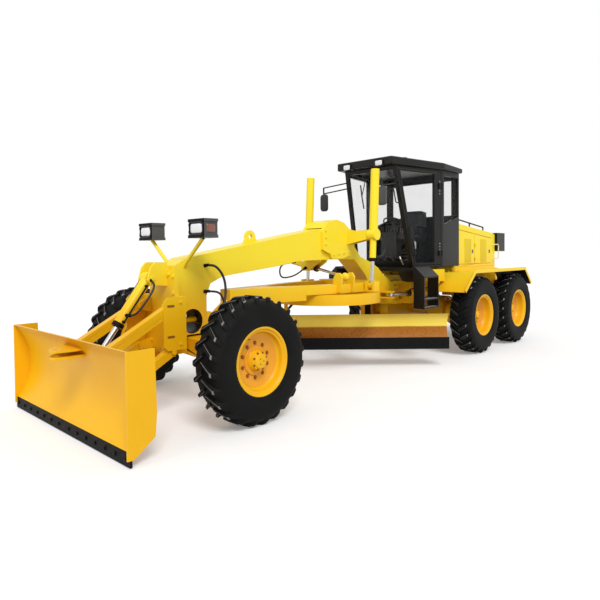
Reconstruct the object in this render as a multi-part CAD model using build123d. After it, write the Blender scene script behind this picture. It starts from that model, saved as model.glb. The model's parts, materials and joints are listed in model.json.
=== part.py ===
"""Motor grader: a six-wheeled road grader with a front dozer blade, all sizes in millimetres.

+X is forward, +Y is the driver's left and +Z is up. The shapes are drawn with x = 0 at the front
axle and z = 0 on the ground, and export() moves them so that the origin lies under the middle of
the machine's box.
"""

from build123d import *
from math import hypot
import os

# Whole machine
ORIGIN_X = -3000  # middle of the machine's length, behind the front axle
WHEELBASE = 6220  # front axle to the middle of the tandem
TANDEM_SPAN = 1550  # between the two rear wheels of one side
FRONT_TRACK = 2280
REAR_TRACK = 2140
HITCH_X = -4450  # articulation pivot under the front of the cab

# Wheels
TYRE_RADIUS = 674
TYRE_WIDTH = 390
TREAD_RADIUS = 636  # between the lugs
LUGS = 24  # on each half of the tread
LUG_WIDTH = 58
LUG_SLOPE = 0.6  # run round the tyre for each unit across it
BEAD_RADIUS = 330
BEAD_HALF = 158
FLANGE_RADIUS = 362
FLANGE_HALF = 172
RIM_WALL = 14

# Front axle and steering
KINGPIN_Y = 860
KINGPIN_R = 40
BEAM_HALF = 110
BEAM_TOP = 800
BEAM_BOTTOM = 590
FORK_R = 62
AXLE_PIN_Z = 720
ARM_Z = (545, 580)  # steering arms, low and high
STEER_ARM = (-330, 690)  # tie rod joint on the left knuckle, x and y
TIE_ROD_Z = 515

# Front frame
NECK_HALF = 160
HITCH_HALF = 275  # half width of the box behind the hitch
TONGUES = ((960, 1015), (1150, 1205))  # low and high z of each hitch tongue
HITCH_R = 120
HITCH_PIN_R = 50
NOSE_X = 300
LAMP = (38, 250, 365, 675, 1965, 2175)  # low and high x, y and z of a head lamp
LIFTING_EYE = (-1026, 2012)  # x and z

# Drawbar, circle and main blade
BALL = (-350, 960)  # x and z of the drawbar's front ball
BALL_R = 85
CIRCLE_X = -2620
CIRCLE_R = 813
CIRCLE_BORE = 690
CIRCLE_Z = (1045, 1195)
DRAWBAR_Z = (1203, 1335)
DRAWBAR_FOOT = 1130  # underside of the arms ahead of the circle
BLADE_TURN = 45  # the left end trails by this angle at rest
BLADE_LENGTH = 3770
BLADE_BOTTOM = 290
BLADE_TOP = 830
BLADE_WALL = 22
BLADE_SAG = 95
EDGE_HEIGHT = 180
EDGE_WALL = 20
TILT_PIN = (-210, 420)  # across the blade's face and up
BLADE_N = 0  # the face's lips, across the blade, from the circle's centre
RAIL_N = -150  # back of the blade's rails
SIDE_SHIFT = 450  # the blade slides this far each way
SHIFT_ROD = (-200, 590)  # side shift cylinder, across and up

# Lift cylinders
LIFT_Y = 640
LIFT_TRUNNION = (-2950, 2055)  # x and z
LIFT_EYE = (-2905, 1290)
SHIFT_PIN = (-170, 1590)  # y and z of the trunnion under the neck
SHIFT_EYE = (530, 1440)  # y and z on the drawbar
SHIFT_X = -2400
SHIFT_CAP_R = 60
SHIFT_FORK = (115, 140)  # the fork's plates stand this far behind and ahead of the cap's centre

# Front dozer blade
DOZER_ARM_Y = 330
DOZER_NOSE = (460, 1200)  # x and z of the upper arms' rear pins
DOZER_BLADE = (1260, 780)  # x and z of the upper arms' front pins
DOZER_DROP = 480  # lower arms below the upper arms
DOZER_CYL_TOP = (533, 1524)
DOZER_CYL_EYE = (1230, 620)
DOZER_HALF = 1304
DOZER_TOP = 982
DOZER_BOTTOM = 8
DOZER_EDGE = 124  # height of the bolted edge
DOZER_FACE_X = 1553
TOW_HOLE = (1693, 230)  # x and y
TOW_Z = 802  # underside of the lower towing lug

# Articulation cylinders, in plan, left side: x and y
ARTIC_REAR = (-5100, 500)
ARTIC_FRONT = (-3900, 330)
ARTIC_Z = 1080

# Rear frame, hood and cab
STEP_X = (-4330, -3862)
STEP_Y = (775, 965)
RAIL_Z = (1100, 1380)
TANK_X = (-4850, -4470)
TANK_Y = (668, 800)
TANK_Z = (1285, 1490)
DECK_Z = (1380, 1500)
HOOD_X = (-7250, -5500)
HOOD_HALF = 640
HOOD_TOP = (2160, 2330)  # rear and front
HOOD_WALL = 40
CAB_FLOOR_Z = 1530
CAB_TOP_Z = 3200
CAB_PAN_HALF = 450
PAN_WALL = 10
CAB_WALL = 45
CAB_REAR_X = -5490
CAB_POST = (-4905, 750)  # where the door's plane meets the side wall, x and y
CAB_SLOPE = 0.21  # inward run of the door's plane for each unit forward
SCREEN_FOOT_X = -4140
SCREEN_LEAN = 0.235  # the screen leans forward by this for each unit up
DOOR_REAR = -60  # the doorway's rear edge, ahead of the post
DOOR_GAP = 7
HINGE_OUT = 22  # the doors' hinge pins stand this far out of the doors
HINGE_R = 14
GLASS = 8

parts = {}


# ---------------------------------------------------------------- helpers
def box(x, y, z):
    """A box from low and high pairs."""
    size = [pair[1] - pair[0] for pair in (x, y, z)]
    middle = [(pair[1] + pair[0]) / 2 for pair in (x, y, z)]
    return Pos(*middle) * Box(*size)


def upright(points, y0, y1, rounding=0):
    """A plate drawn from the side: points are x, z; it lies between y0 and y1."""
    face = make_face(Polyline(*points, close=True))
    if rounding:
        face = fillet(face.vertices(), rounding)
    return extrude(Plane.XZ.offset(-y1) * face, y1 - y0)


def flat(points, z0, z1):
    """A plate drawn from above: points are x, y; it lies between z0 and z1."""
    face = make_face(Polyline(*points, close=True))
    return extrude(Plane.XY.offset(z0) * face, z1 - z0)


def across(points, x0, x1, rounding=0):
    """A plate drawn from the front: points are y, z; it lies between x0 and x1."""
    face = make_face(Polyline(*points, close=True))
    if rounding:
        face = fillet(face.vertices(), rounding)
    return extrude(Plane.YZ.offset(x0) * face, x1 - x0)


def bar(a, b, radius):
    """A round bar between two points."""
    run = Vector(*b) - Vector(*a)
    start = Plane(origin=a, z_dir=run)
    return start * Cylinder(radius, run.length, align=(Align.CENTER, Align.CENTER, Align.MIN))


def beam(a, b, width, height):
    """A square bar between two points, its width level."""
    run = Vector(*b) - Vector(*a)
    level = Vector(0, 0, 1).cross(run)
    start = Plane(origin=a, x_dir=level, z_dir=run)
    return start * Box(width, height, run.length, align=(Align.CENTER, Align.CENTER, Align.MIN))


def pin_y(x, z, radius, y0, y1):
    """A round bar along Y."""
    return bar((x, y0, z), (x, y1, z), radius)


def pin_z(x, y, radius, z0, z1):
    """A round bar along Z."""
    return bar((x, y, z0), (x, y, z1), radius)


def pair(shape):
    """The shape and its mirror image on the right-hand side."""
    return shape + shape.mirror(Plane.XZ)


def both(name, shape):
    """One node for each side."""
    parts[name + "_left"] = shape
    parts[name + "_right"] = shape.mirror(Plane.XZ)


def ribbon(points, wall):
    """Outline of a bent plate: the line and the same line moved by its wall, mitred."""
    lines = [Vector(*p) for p in points]
    moved = []
    for i, here in enumerate(lines):
        sides = []
        if i > 0:
            sides.append((here - lines[i - 1]).normalized())
        if i < len(lines) - 1:
            sides.append((lines[i + 1] - here).normalized())
        normals = [Vector(-s.Y, s.X) for s in sides]
        middle = sum(normals[1:], normals[0]).normalized()
        moved.append(here + middle * (wall / middle.dot(normals[0])))
    return [(p.X, p.Y) for p in lines + moved[::-1]]


def cylinder_pair(base, eye, base_axis, radii, lengths):
    """A hydraulic cylinder from its base pin to its rod's eye.

    radii: barrel behind the base pin, barrel ahead of it, bore, rod, eye. lengths: tail behind the
    base pin, barrel past it, depth of the bore, rod inside it, width of the eye. base_axis is the
    pins' direction.
    """
    tail_r, barrel_r, bore_r, rod_r, eye_r = radii
    tail, ahead, depth, inside, eye_width = lengths
    run = (Vector(*eye) - Vector(*base)).normalized()
    side = Vector(*base_axis).normalized()
    base, eye = Vector(*base), Vector(*eye)
    mouth = base + run * ahead
    barrel = bar(base, mouth, barrel_r)
    if tail:
        barrel += bar(base - run * tail, base, tail_r)
    bore = bar(mouth - run * depth, mouth + run * 10, bore_r)
    rod = bar(mouth - run * inside, eye, rod_r)
    rod += bar(eye - side * (eye_width / 2), eye + side * (eye_width / 2), eye_r)
    return barrel, bore, rod


# ---------------------------------------------------------------- wheels
def tyre():
    """Tyre about the Y axis: round carcass and slanted lugs that alternate left and right."""
    half = TYRE_WIDTH / 2
    tread, shoulder = (half - 60, TREAD_RADIUS), (half - 24, TREAD_RADIUS - 30)
    side = [
        Line((-BEAD_HALF, BEAD_RADIUS), (BEAD_HALF, BEAD_RADIUS)),
        Line((BEAD_HALF, BEAD_RADIUS), (BEAD_HALF, FLANGE_RADIUS)),
        ThreePointArc((BEAD_HALF, FLANGE_RADIUS), (half, 500), shoulder),
        Line(shoulder, tread),
        Line(tread, (-tread[0], tread[1])),
        Line((-tread[0], tread[1]), (-shoulder[0], shoulder[1])),
        ThreePointArc((-shoulder[0], shoulder[1]), (-half, 500), (-BEAD_HALF, FLANGE_RADIUS)),
        Line((-BEAD_HALF, FLANGE_RADIUS), (-BEAD_HALF, BEAD_RADIUS)),
    ]
    carcass = revolve(Plane.YZ * make_face(side), Axis.Y)
    # a lug's flat top is lower than the tips, so that its far corner just reaches them
    inner, reach, w = -8, half - 30, LUG_WIDTH / 2
    lean = LUG_SLOPE * (reach - inner) / 2
    top = (TYRE_RADIUS ** 2 - (lean + w) ** 2) ** 0.5
    plan = ((lean - w, inner), (lean + w, inner), (w - lean, reach), (-w - lean, reach))
    profile = ((inner, 600), (inner, top), (half - 62, top), (reach, TREAD_RADIUS - 16), (half - 52, 600))
    lug = flat(plan, 590, TYRE_RADIUS) & across(profile, -TYRE_WIDTH, TYRE_WIDTH)
    lugs = []
    for i in range(LUGS):
        lugs.append(Rot(0, 360 / LUGS * i, 0) * lug)
        lugs.append(Rot(0, 360 / LUGS * (i + 0.5), 0) * lug.mirror(Plane.XZ))
    return carcass.fuse(*lugs)


def rim(dish, hub_out):
    """Rim about the Y axis: dish is where the disc stands, hub_out where the hub ends."""
    r = BEAD_RADIUS
    wall = RIM_WALL
    section = [
        (-FLANGE_HALF, r - wall), (FLANGE_HALF, r - wall), (FLANGE_HALF, FLANGE_RADIUS),
        (BEAD_HALF, FLANGE_RADIUS), (BEAD_HALF, r), (-BEAD_HALF, r), (-BEAD_HALF, FLANGE_RADIUS),
        (-FLANGE_HALF, FLANGE_RADIUS),
    ]
    barrel = revolve(Plane.YZ * make_face(Polyline(*section, close=True)), Axis.Y)
    disc = [
        (dish, 90), (dish + 18, 90), (dish + 18, 215), (dish + 48, r - wall), (dish + 22, r - wall),
        (dish, 222),
    ]
    barrel += revolve(Plane.YZ * make_face(Polyline(*disc, close=True)), Axis.Y)
    hub = [(dish - 60, 0), (dish - 60, 125), (dish, 125), (dish, 160), (dish + 30, 160), (hub_out, 105),
           (hub_out, 0)]
    return barrel + revolve(Plane.YZ * make_face(Polyline(*hub, close=True)), Axis.Y)


def wheels():
    """Six wheels; each has a tyre and a rim."""
    driven = tyre()
    steered = driven.mirror(Plane.YZ)
    front = rim(dish=40, hub_out=150)
    rear = rim(dish=-30, hub_out=60)
    # place, x, y, tyre, rim
    table = (
        ("front", 0, FRONT_TRACK / 2, steered, front),
        ("middle", -WHEELBASE + TANDEM_SPAN / 2, REAR_TRACK / 2, driven, rear),
        ("rear", -WHEELBASE - TANDEM_SPAN / 2, REAR_TRACK / 2, driven, rear),
    )
    for place, x, y, rubber, metal in table:
        both(place + "_tyre", Pos(x, y, TYRE_RADIUS) * rubber)
        both(place + "_rim", Pos(x, y, TYRE_RADIUS) * metal)


# ---------------------------------------------------------------- front axle and steering
def front_axle():
    """Welded beam on a lengthwise pivot pin under the nose, with a fork at each end."""
    end = KINGPIN_Y - 90
    half = [
        (0, BEAM_BOTTOM + 30), (450, BEAM_BOTTOM), (end, BEAM_BOTTOM), (end, BEAM_TOP),
        (520, BEAM_TOP), (160, BEAM_TOP + 20), (0, BEAM_TOP + 20),
    ]
    side = across(half, -BEAM_HALF, BEAM_HALF)
    for low, high in ((BEAM_BOTTOM, BEAM_BOTTOM + 40), (BEAM_TOP - 50, BEAM_TOP)):
        side += box((-FORK_R, FORK_R), (end - 20, KINGPIN_Y), (low, high))
        side += pin_z(0, KINGPIN_Y, FORK_R, low, high)
    side += pin_z(0, KINGPIN_Y, KINGPIN_R, BEAM_BOTTOM, BEAM_TOP + 25)
    parts["front_axle"] = pair(side) + bar((-190, 0, AXLE_PIN_Z), (270, 0, AXLE_PIN_Z), 50)


def knuckles():
    """Knuckle in the fork, with its spindle into the wheel and its arm under the beam."""
    low, high = BEAM_BOTTOM + 46, BEAM_TOP - 56
    body = pin_z(0, KINGPIN_Y, FORK_R - 4, low, high)
    body += box((-50, 50), (KINGPIN_Y, KINGPIN_Y + 110), (low, high))
    body += pin_y(0, TYRE_RADIUS, 62, KINGPIN_Y + 75, FRONT_TRACK / 2 - 22)
    link_y = KINGPIN_Y + FORK_R + 9
    body += box((-50, 50), (link_y, link_y + 32), (ARM_Z[0], high))
    arm_x, arm_y = STEER_ARM
    arm = flat(((-50, link_y), (-50, KINGPIN_Y - 50), (arm_x - 38, arm_y - 38), (arm_x - 38, arm_y + 38),
                (arm_x + 20, arm_y + 60), (-120, link_y - 20), (-50, link_y + 32), (50, link_y + 32),
                (50, link_y)), *ARM_Z)
    bore = pin_z(0, KINGPIN_Y, KINGPIN_R + 0.6, low - 9, high + 9)
    both("knuckle", body + arm - bore)


def tie_rod():
    """Rod across behind the axle and below it, from one steering arm to the other."""
    x, y = STEER_ARM
    low = TIE_ROD_Z - 24
    rod = pin_y(x, TIE_ROD_Z, 22, -y, y)
    parts["tie_rod"] = rod + pair(pin_z(x, y, 32, low, ARM_Z[0] - 1))


# ---------------------------------------------------------------- front frame
def front_frame():
    """Box-section neck: nose over the axle, long arched back, and a leg down to the hitch."""
    neck = (
        (NOSE_X, 640), (NOSE_X, 1655), (100, 1745), (-1830, 2070), (-2350, 2150), (-2950, 2060),
        (-3290, 1720), (-3620, 1615), (-3780, 1535), (-3915, 1425), (-4155, 1295), (-4260, 1235),
        (-4260, 915), (-3910, 915), (-3730, 1060), (-3580, 1212), (-3425, 1424), (-3114, 1683),
        (-2600, 1690), (-1830, 1678), (-1420, 1616), (-420, 1510), (-230, 1430), (-170, 1290),
        (-170, 640), (-125, 640), (-125, 845), (125, 845), (125, 640),
    )
    frame = upright(neck, -NECK_HALF, NECK_HALF)
    frame -= bar((-200, 0, AXLE_PIN_Z), (280, 0, AXLE_PIN_Z), 50.6)
    # round window through the head, and the pipe that crosses it
    frame -= pin_y(40, 1000, 145, -NECK_HALF - 10, NECK_HALF + 10)
    frame += bar((-120, 0, 1000), (200, 0, 1000), 42)
    for low, high in TONGUES:
        tongue = box((HITCH_X, -4200), (-HITCH_R, HITCH_R), (low, high))
        tongue += pin_z(HITCH_X, 0, HITCH_R, low, high)
        frame += tongue - pin_z(HITCH_X, 0, HITCH_PIN_R + 0.6, low - 9, high + 9)
    # ears for the articulation cylinders
    x, y = ARTIC_FRONT
    for level in (ARTIC_Z - 60, ARTIC_Z + 36):
        frame += pair(flat(((x + 110, NECK_HALF - 10), (x - 110, NECK_HALF - 10), (x - 50, y + 45),
                            (x + 50, y + 45)), level, level + 24))
    # socket for the drawbar's ball
    ball_x, ball_z = BALL
    cup_r, mouth = BALL_R + 0.6, 20
    lip = (ball_x + mouth, (cup_r ** 2 - mouth ** 2) ** 0.5)
    inside = (ball_x + cup_r * 0.8, cup_r * 0.6)
    cup = make_face([Polyline((-165, 0), (-165, 120), (lip[0], 120), lip),
                     ThreePointArc(lip, inside, (ball_x + cup_r, 0)), Line((ball_x + cup_r, 0), (-165, 0))])
    frame += Pos(0, 0, ball_z) * revolve(Plane.XZ * cup, Axis.X)
    frame += nose_bracket()
    # lifting eye on the neck's back
    x, z = LIFTING_EYE
    lug = upright(((x + 150, 1870), (x - 150, 1920), (x - 70, z), (x + 70, z)), -20, 20)
    lug += pin_y(x, z, 85, -20, 20)
    frame += lug - pin_y(x, z, 34, -30, 30)
    parts["front_frame"] = frame


def nose_bracket():
    """Bolted bracket that carries the dozer's arms and its lift cylinder."""
    plate = box((NOSE_X, NOSE_X + 50), (-260, 260), (700, 1600))
    plate += box((NOSE_X, NOSE_X + 50), (-398, 398), (740, 1320))
    top = ((350, 1430), (350, 1700), (505, 1700), (560, 1640), (600, 1500), (570, 1450))
    ears = pair(upright(top, 78, 108))
    nose_x, nose_z = DOZER_NOSE
    for drop in (0, DOZER_DROP):
        z = nose_z - drop
        tab = upright(((350, z - 85), (350, z + 85), (nose_x, z + 60), (nose_x + 50, z + 30),
                       (nose_x + 50, z - 30), (nose_x, z - 60)), 258 - 30, 258)
        ears += pair(tab)
        ears += pair(pin_y(nose_x, z, 30, 220, DOZER_ARM_Y + 68))
    side = ((340, 740), (340, 1320), (540, 1320), (590, 1270), (590, 790), (540, 740))
    ears += pair(upright(side, DOZER_ARM_Y + 53, DOZER_ARM_Y + 68))
    x, z = DOZER_CYL_TOP
    pin = pin_y(x, z, 28, -120, 120)
    return plate + ears + pin


def saddle():
    """Yoke over the neck: side cheeks, arched top, arms to the lift cylinders, link below."""
    cheek = (
        (-2300, 1830), (-2290, 2110), (-2400, 2235), (-2620, 2290), (-2800, 2250), (-2930, 2160),
        (-3060, 2130), (-3060, 1880), (-2990, 1760), (-2780, 1700), (-2500, 1700), (-2470, 1770),
    )
    yoke = pair(upright(cheek, NECK_HALF, NECK_HALF + 50, 24))
    cover = ((-2350, 2160), (-2400, 2235), (-2620, 2290), (-2800, 2250), (-2920, 2160))
    yoke += upright(cover, -NECK_HALF, NECK_HALF) - parts["front_frame"]
    x, z = LIFT_TRUNNION
    arm = across(((NECK_HALF + 40, z - 140), (NECK_HALF + 40, z + 70), (LIFT_Y - 75, z + 70),
                  (LIFT_Y - 75, z - 70)), x - 80, x + 80)
    yoke += pair(arm + pin_y(x, z, 30, LIFT_Y - 80, LIFT_Y - 48))
    # hanger for the centre shift cylinder's trunnion
    y, low = SHIFT_PIN
    hanger = ((-NECK_HALF, 1690), (NECK_HALF - 20, 1690), (NECK_HALF - 40, 1650), (y + 75, low - 70),
              (y - 75, low - 70), (y - 75, low + 50))
    for x0 in (SHIFT_X - 86, SHIFT_X + 56):
        yoke += across(hanger, x0, x0 + 30) - parts["front_frame"]
    for x0, x1 in ((-86, -46), (46, 86)):
        yoke += bar((SHIFT_X + x0, y, low), (SHIFT_X + x1, y, low), 24)
    parts["saddle"] = yoke


def headlamps():
    """Two square lamps on bent posts that rise from the top of the nose."""
    x0, x1, y0, y1, low, high = LAMP
    post = bar((145, 150, 1640), (145, 200, 1700), 22)
    post += bar((145, 200, 1700), (145, (y0 + y1) / 2, low), 22)
    post += Pos(145, 200, 1700) * Sphere(22)
    lamp = box((x0 + 14, x1 - 14), (y0 + 14, y1 - 14), (low, high))
    for level in (low, high - 32):
        lid = box((x0, x1), (y0, y1), (level, level + 32))
        lamp += fillet(lid.edges().filter_by(Axis.Z), 26)
    parts["headlamps"] = pair(post + lamp) - parts["front_frame"]


# ---------------------------------------------------------------- front dozer
def dozer_linkage():
    """Two pairs of parallel arms and the cylinder that lifts them."""
    (x0, z0), (x1, z1) = DOZER_NOSE, DOZER_BLADE
    y0, y1 = DOZER_ARM_Y - 45, DOZER_ARM_Y + 45
    for name, drop, high in (("dozer_upper_arms", 0, 110), ("dozer_lower_arms", DOZER_DROP, 90)):
        run = Vector(x1 - x0, 0, z1 - z0).normalized()
        arms = beam((x0, DOZER_ARM_Y, z0 - drop), (x1, DOZER_ARM_Y, z1 - drop), y1 - y0, high)
        for x, z in ((x0, z0), (x1, z1)):
            arms += pin_y(x, z - drop, high / 2, y0, y1)
            arms -= pin_y(x, z - drop, 30.6, y0 - 9, y1 + 9)
        middle = Vector(x0, 0, z0 - drop) + run * 480
        arms = pair(arms)
        if drop:
            arms += pin_y(middle.X, middle.Z, 30, -y0 - 9, y0 + 9)
        parts[name] = arms
    top = (DOZER_CYL_TOP[0], 0, DOZER_CYL_TOP[1])
    eye = (DOZER_CYL_EYE[0], 0, DOZER_CYL_EYE[1])
    barrel, bore, rod = cylinder_pair(top, eye, (0, 1, 0), (62, 62, 31, 30, 52), (0, 650, 590, 260, 70))
    barrel += pin_y(top[0], top[2], 70, -60, 60)
    barrel -= bore + pin_y(top[0], top[2], 28.6, -99, 99)
    parts["dozer_barrel"] = barrel
    parts["dozer_rod"] = rod


def dozer_blade():
    """Curved front blade with end plates, arm lugs behind and towing lugs on its face."""
    x1, z1 = DOZER_BLADE
    y0, y1 = DOZER_ARM_Y - 45, DOZER_ARM_Y + 45
    face, wall = DOZER_FACE_X, 30
    top_front = (face, DOZER_TOP)
    foot = (face - 20, DOZER_BOTTOM + DOZER_EDGE - 10)
    hollow = (face - 170, 430)

    def line(back):
        return ThreePointArc((top_front[0] - back, top_front[1]), (hollow[0] - back, hollow[1]),
                             (foot[0] - back, foot[1]))

    front, back = line(0), line(wall)
    skin = make_face([front, Line(front @ 1, back @ 1), back, Line(back @ 0, front @ 0)])
    blade = extrude(Plane.XZ.offset(-DOZER_HALF + 20) * skin, 2 * DOZER_HALF - 40)
    middle = line(wall / 2)
    air = make_face([middle, Line(middle @ 1, (2000, foot[1])), Line((2000, foot[1]), (2000, DOZER_TOP)),
                     Line((2000, DOZER_TOP), middle @ 0)])
    air = extrude(Plane.XZ.offset(-DOZER_HALF) * air, 2 * DOZER_HALF)
    end = ((face, DOZER_TOP), (face - 275, DOZER_TOP), (face - 290, 420), (face - 270, 215),
           (face - 60, DOZER_BOTTOM + 60), (face, DOZER_BOTTOM + 60))
    blade += pair(upright(end, DOZER_HALF - 20, DOZER_HALF))
    # arm lugs, ribs and cylinder lug on the back
    ribs = box((face - 110, face - 20), (20 - DOZER_HALF, DOZER_HALF - 20), (DOZER_TOP - 60, DOZER_TOP - 30))
    for drop in (0, DOZER_DROP):
        z = z1 - drop
        lug = ((x1 - 55, z - 45), (x1 - 55, z + 45), (x1 + 20, z + 70), (x1 + 200, z + 70), (x1 + 200, z - 70),
               (x1 + 20, z - 70))
        for y in (y0 - 37, y1 + 7):
            ribs += pair(upright(lug, y, y + 30))
        ribs += pair(pin_y(x1, z, 30, y0 - 37, y1 + 37))
    for y in (700, 1000):
        ribs += pair(upright(((face - 230, 250), (face - 230, 650), (face - 60, 800), (face - 60, 200)), y, y + 16))
    x, z = DOZER_CYL_EYE
    lug = ((x - 50, z - 45), (x - 50, z + 45), (x + 240, z + 90), (x + 240, z - 90))
    for y in (-75, 45):
        ribs += upright(lug, y, y + 30)
    blade += ribs - air
    # two towing lugs stacked above each other on the face
    hole_x, hole_y = TOW_HOLE
    for z in (TOW_Z, TOW_Z + 66):
        lug = flat(((face - 110, hole_y - 290), (face + 60, hole_y - 190), (hole_x + 40, hole_y - 60),
                    (hole_x + 62, hole_y + 20), (hole_x + 30, hole_y + 70), (face + 60, hole_y + 100),
                    (face - 110, hole_y + 100)), z, z + 24)
        blade += lug - pin_z(hole_x, hole_y, 28, z - 9, z + 40)
    parts["dozer_blade"] = blade
    parts["dozer_edge"] = box((face - 44, face - 20), (-DOZER_HALF, DOZER_HALF),
                              (DOZER_BOTTOM, DOZER_BOTTOM + DOZER_EDGE)) - blade


# ---------------------------------------------------------------- drawbar and main blade
def drawbar():
    """A-frame from the front ball back to the cross beam over the circle."""
    ball_x, ball_z = BALL
    low, high = DRAWBAR_Z
    arms = pair(flat(((ball_x - 240, 0), (ball_x - 240, 95), (-1500, 300), (-2350, 540), (-3080, 540),
                      (-3080, 400), (-2380, 400), (-1560, 170), (-1300, 0)), low, high))
    arms += pair(flat(((ball_x - 240, 0), (ball_x - 240, 95), (-1500, 300), (-1740, 367), (-1740, 221),
                       (-1560, 170), (-1300, 0)), DRAWBAR_FOOT, low))
    frame = arms + box((-3230, -3060), (-520, 520), (low, high + 20))
    frame += bar((ball_x, 0, ball_z), (ball_x - 360, 0, (DRAWBAR_FOOT + high) / 2), 60)
    frame += Pos(ball_x, 0, ball_z) * Sphere(BALL_R)
    plate = flat(((-1740, -300), (-1740, 300), (-2250, 480), (-3070, 480), (-3070, -480), (-2250, -480)),
                 low, low + 30)
    frame += plate - pin_z(CIRCLE_X, 0, 330, low - 9, low + 60)
    # forks for the lift cylinders' eyes
    x, z = LIFT_EYE
    for y in (LIFT_Y - 85, LIFT_Y + 45):
        frame += pair(box((x - 70, x + 70), (y, y + 40), (low, z + 65)))
    frame += pair(box((x - 70, x + 70), (530, LIFT_Y + 85), (low, low + 25)))
    # ball cap and lug for the centre shift cylinder
    y, z = SHIFT_EYE
    lug = ((y - 110, low + 20), (y - 75, z), (y - 30, z + 60), (y + 30, z + 60), (y + 75, z), (y + 40, low + 20))
    for x in (SHIFT_X - SHIFT_FORK[0] - 30, SHIFT_X + SHIFT_FORK[1]):
        frame += across(lug, x, x + 30)
    parts["drawbar"] = frame


def blade_frame(shape):
    """Turns what is drawn square to the machine, about the circle's centre, to the rest angle."""
    return Pos(CIRCLE_X, 0, 0) * Rot(0, 0, BLADE_TURN) * shape


def circle():
    """Ring gear under the drawbar with two arms that carry the blade."""
    low, high = CIRCLE_Z
    ring = Pos(0, 0, (low + high) / 2) * (Cylinder(CIRCLE_R, high - low) - Cylinder(CIRCLE_BORE, high - low))
    pin_n, pin_up = TILT_PIN
    web = ((-600, low + 10), (-360, low + 10), (-360, 660), (pin_n + 48, pin_up + 40),
           (pin_n + 45, pin_up - 35), (pin_n - 45, pin_up - 35), (pin_n - 52, pin_up + 10), (-440, 680))
    for y in (-620, 620):
        ring += upright(web, y - 30, y + 30)
    ring += box((-560, -460), (-650, 650), (low, low + 40))
    for y in (-620, 620):
        ring -= pin_y(pin_n, pin_up, 30.6, y - 60, y + 60)
    parts["circle"] = blade_frame(ring)


def blade_section(n0, wall):
    """Curved section of the main blade: across, up; n0 moves it along its normal."""
    middle = (BLADE_BOTTOM + BLADE_TOP) / 2
    front = ThreePointArc((n0, BLADE_TOP), (n0 - BLADE_SAG, middle), (n0, BLADE_BOTTOM + 90))
    back = ThreePointArc((n0 - wall, BLADE_BOTTOM + 90), (n0 - wall - BLADE_SAG, middle), (n0 - wall, BLADE_TOP))
    return make_face([front, Line(front @ 1, back @ 0), back, Line(back @ 1, front @ 0)])


def main_blade():
    """Carrier that tips on the circle's arms, and the blade that slides along it."""
    half = BLADE_LENGTH / 2
    pin_n, pin_up = TILT_PIN
    skin = extrude(Plane.XZ.offset(-half) * blade_section(BLADE_N, BLADE_WALL), BLADE_LENGTH)
    ahead = extrude(Plane.XZ.offset(-half - 9) * blade_section(BLADE_N + 8, 400), BLADE_LENGTH + 18)
    # two rails along the back, and the lug of the side shift rod
    shift_n, shift_z = SHIFT_ROD
    rails = box((RAIL_N, BLADE_N), (150 - half, half - 150), (BLADE_BOTTOM + 135, BLADE_BOTTOM + 165))
    rails += box((RAIL_N, BLADE_N), (150 - half, half - 150), (BLADE_TOP - 165, BLADE_TOP - 135))
    rails += box((shift_n - 35, BLADE_N), (1110, 1140), (shift_z - 40, BLADE_TOP - 135))
    rails += pin_y(shift_n, shift_z, 24, 0, 1120)
    skin += rails & extrude(Plane.XZ.offset(-half) * blade_section(BLADE_N - 4, 400), BLADE_LENGTH)
    parts["moldboard"] = blade_frame(skin)
    edge = box((BLADE_N - 4, BLADE_N + EDGE_WALL), (-half, half), (BLADE_BOTTOM, BLADE_BOTTOM + EDGE_HEIGHT))
    parts["cutting_edge"] = blade_frame(edge - skin)
    cheek = ((pin_n - 45, pin_up - 45), (pin_n - 45, BLADE_TOP - 130), (pin_n - 20, BLADE_TOP - 90),
             (RAIL_N - 1, BLADE_TOP - 90), (RAIL_N - 1, pin_up - 45))
    carrier = pin_y(pin_n, pin_up, 30, -680, 680)
    for y in (-530, 530):
        carrier += upright(cheek, y - 25, y + 25)
    carrier += pin_y(shift_n, shift_z, 46, -SIDE_SHIFT - 80, SIDE_SHIFT + 80)
    carrier -= pin_y(shift_n, shift_z, 25, -SIDE_SHIFT - 40, SIDE_SHIFT + 200)
    parts["blade_carrier"] = blade_frame(carrier)


def lift_cylinders():
    """Two tall cylinders that hang the drawbar from the saddle."""
    tx, tz = LIFT_TRUNNION
    ex, ez = LIFT_EYE
    top = (tx, LIFT_Y, tz)
    eye = (ex, LIFT_Y, ez)
    barrel, bore, rod = cylinder_pair(top, eye, (0, 1, 0), (64, 48, 31, 28, 46), (985, 395, 1290, 1040, 70))
    collar = pin_y(tx, tz, 85, LIFT_Y - 70, LIFT_Y + 72)
    barrel = barrel + collar - bore - pin_y(tx, tz, 30.6, LIFT_Y - 99, LIFT_Y - 46)
    both("lift_barrel", barrel)
    both("lift_rod", rod)


def centre_shift():
    """Cylinder across the machine, from its trunnion under the neck to the drawbar."""
    y0, z0 = SHIFT_PIN
    y1, z1 = SHIFT_EYE
    barrel, bore, rod = cylinder_pair((SHIFT_X, y0, z0), (SHIFT_X, y1, z1), (1, 0, 0),
                                      (45, 45, 23, 22, 40), (330, 190, 505, 405, 40))
    barrel += bar((SHIFT_X - 51, y0, z0), (SHIFT_X + 51, y0, z0), 50)
    for x0, x1 in ((-99, -45), (45, 99)):
        barrel -= bar((SHIFT_X + x0, y0, z0), (SHIFT_X + x1, y0, z0), 24.6)
    parts["shift_barrel"] = barrel - bore
    parts["shift_rod"] = rod + Pos(SHIFT_X, y1, z1) * Sphere(SHIFT_CAP_R)


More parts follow.
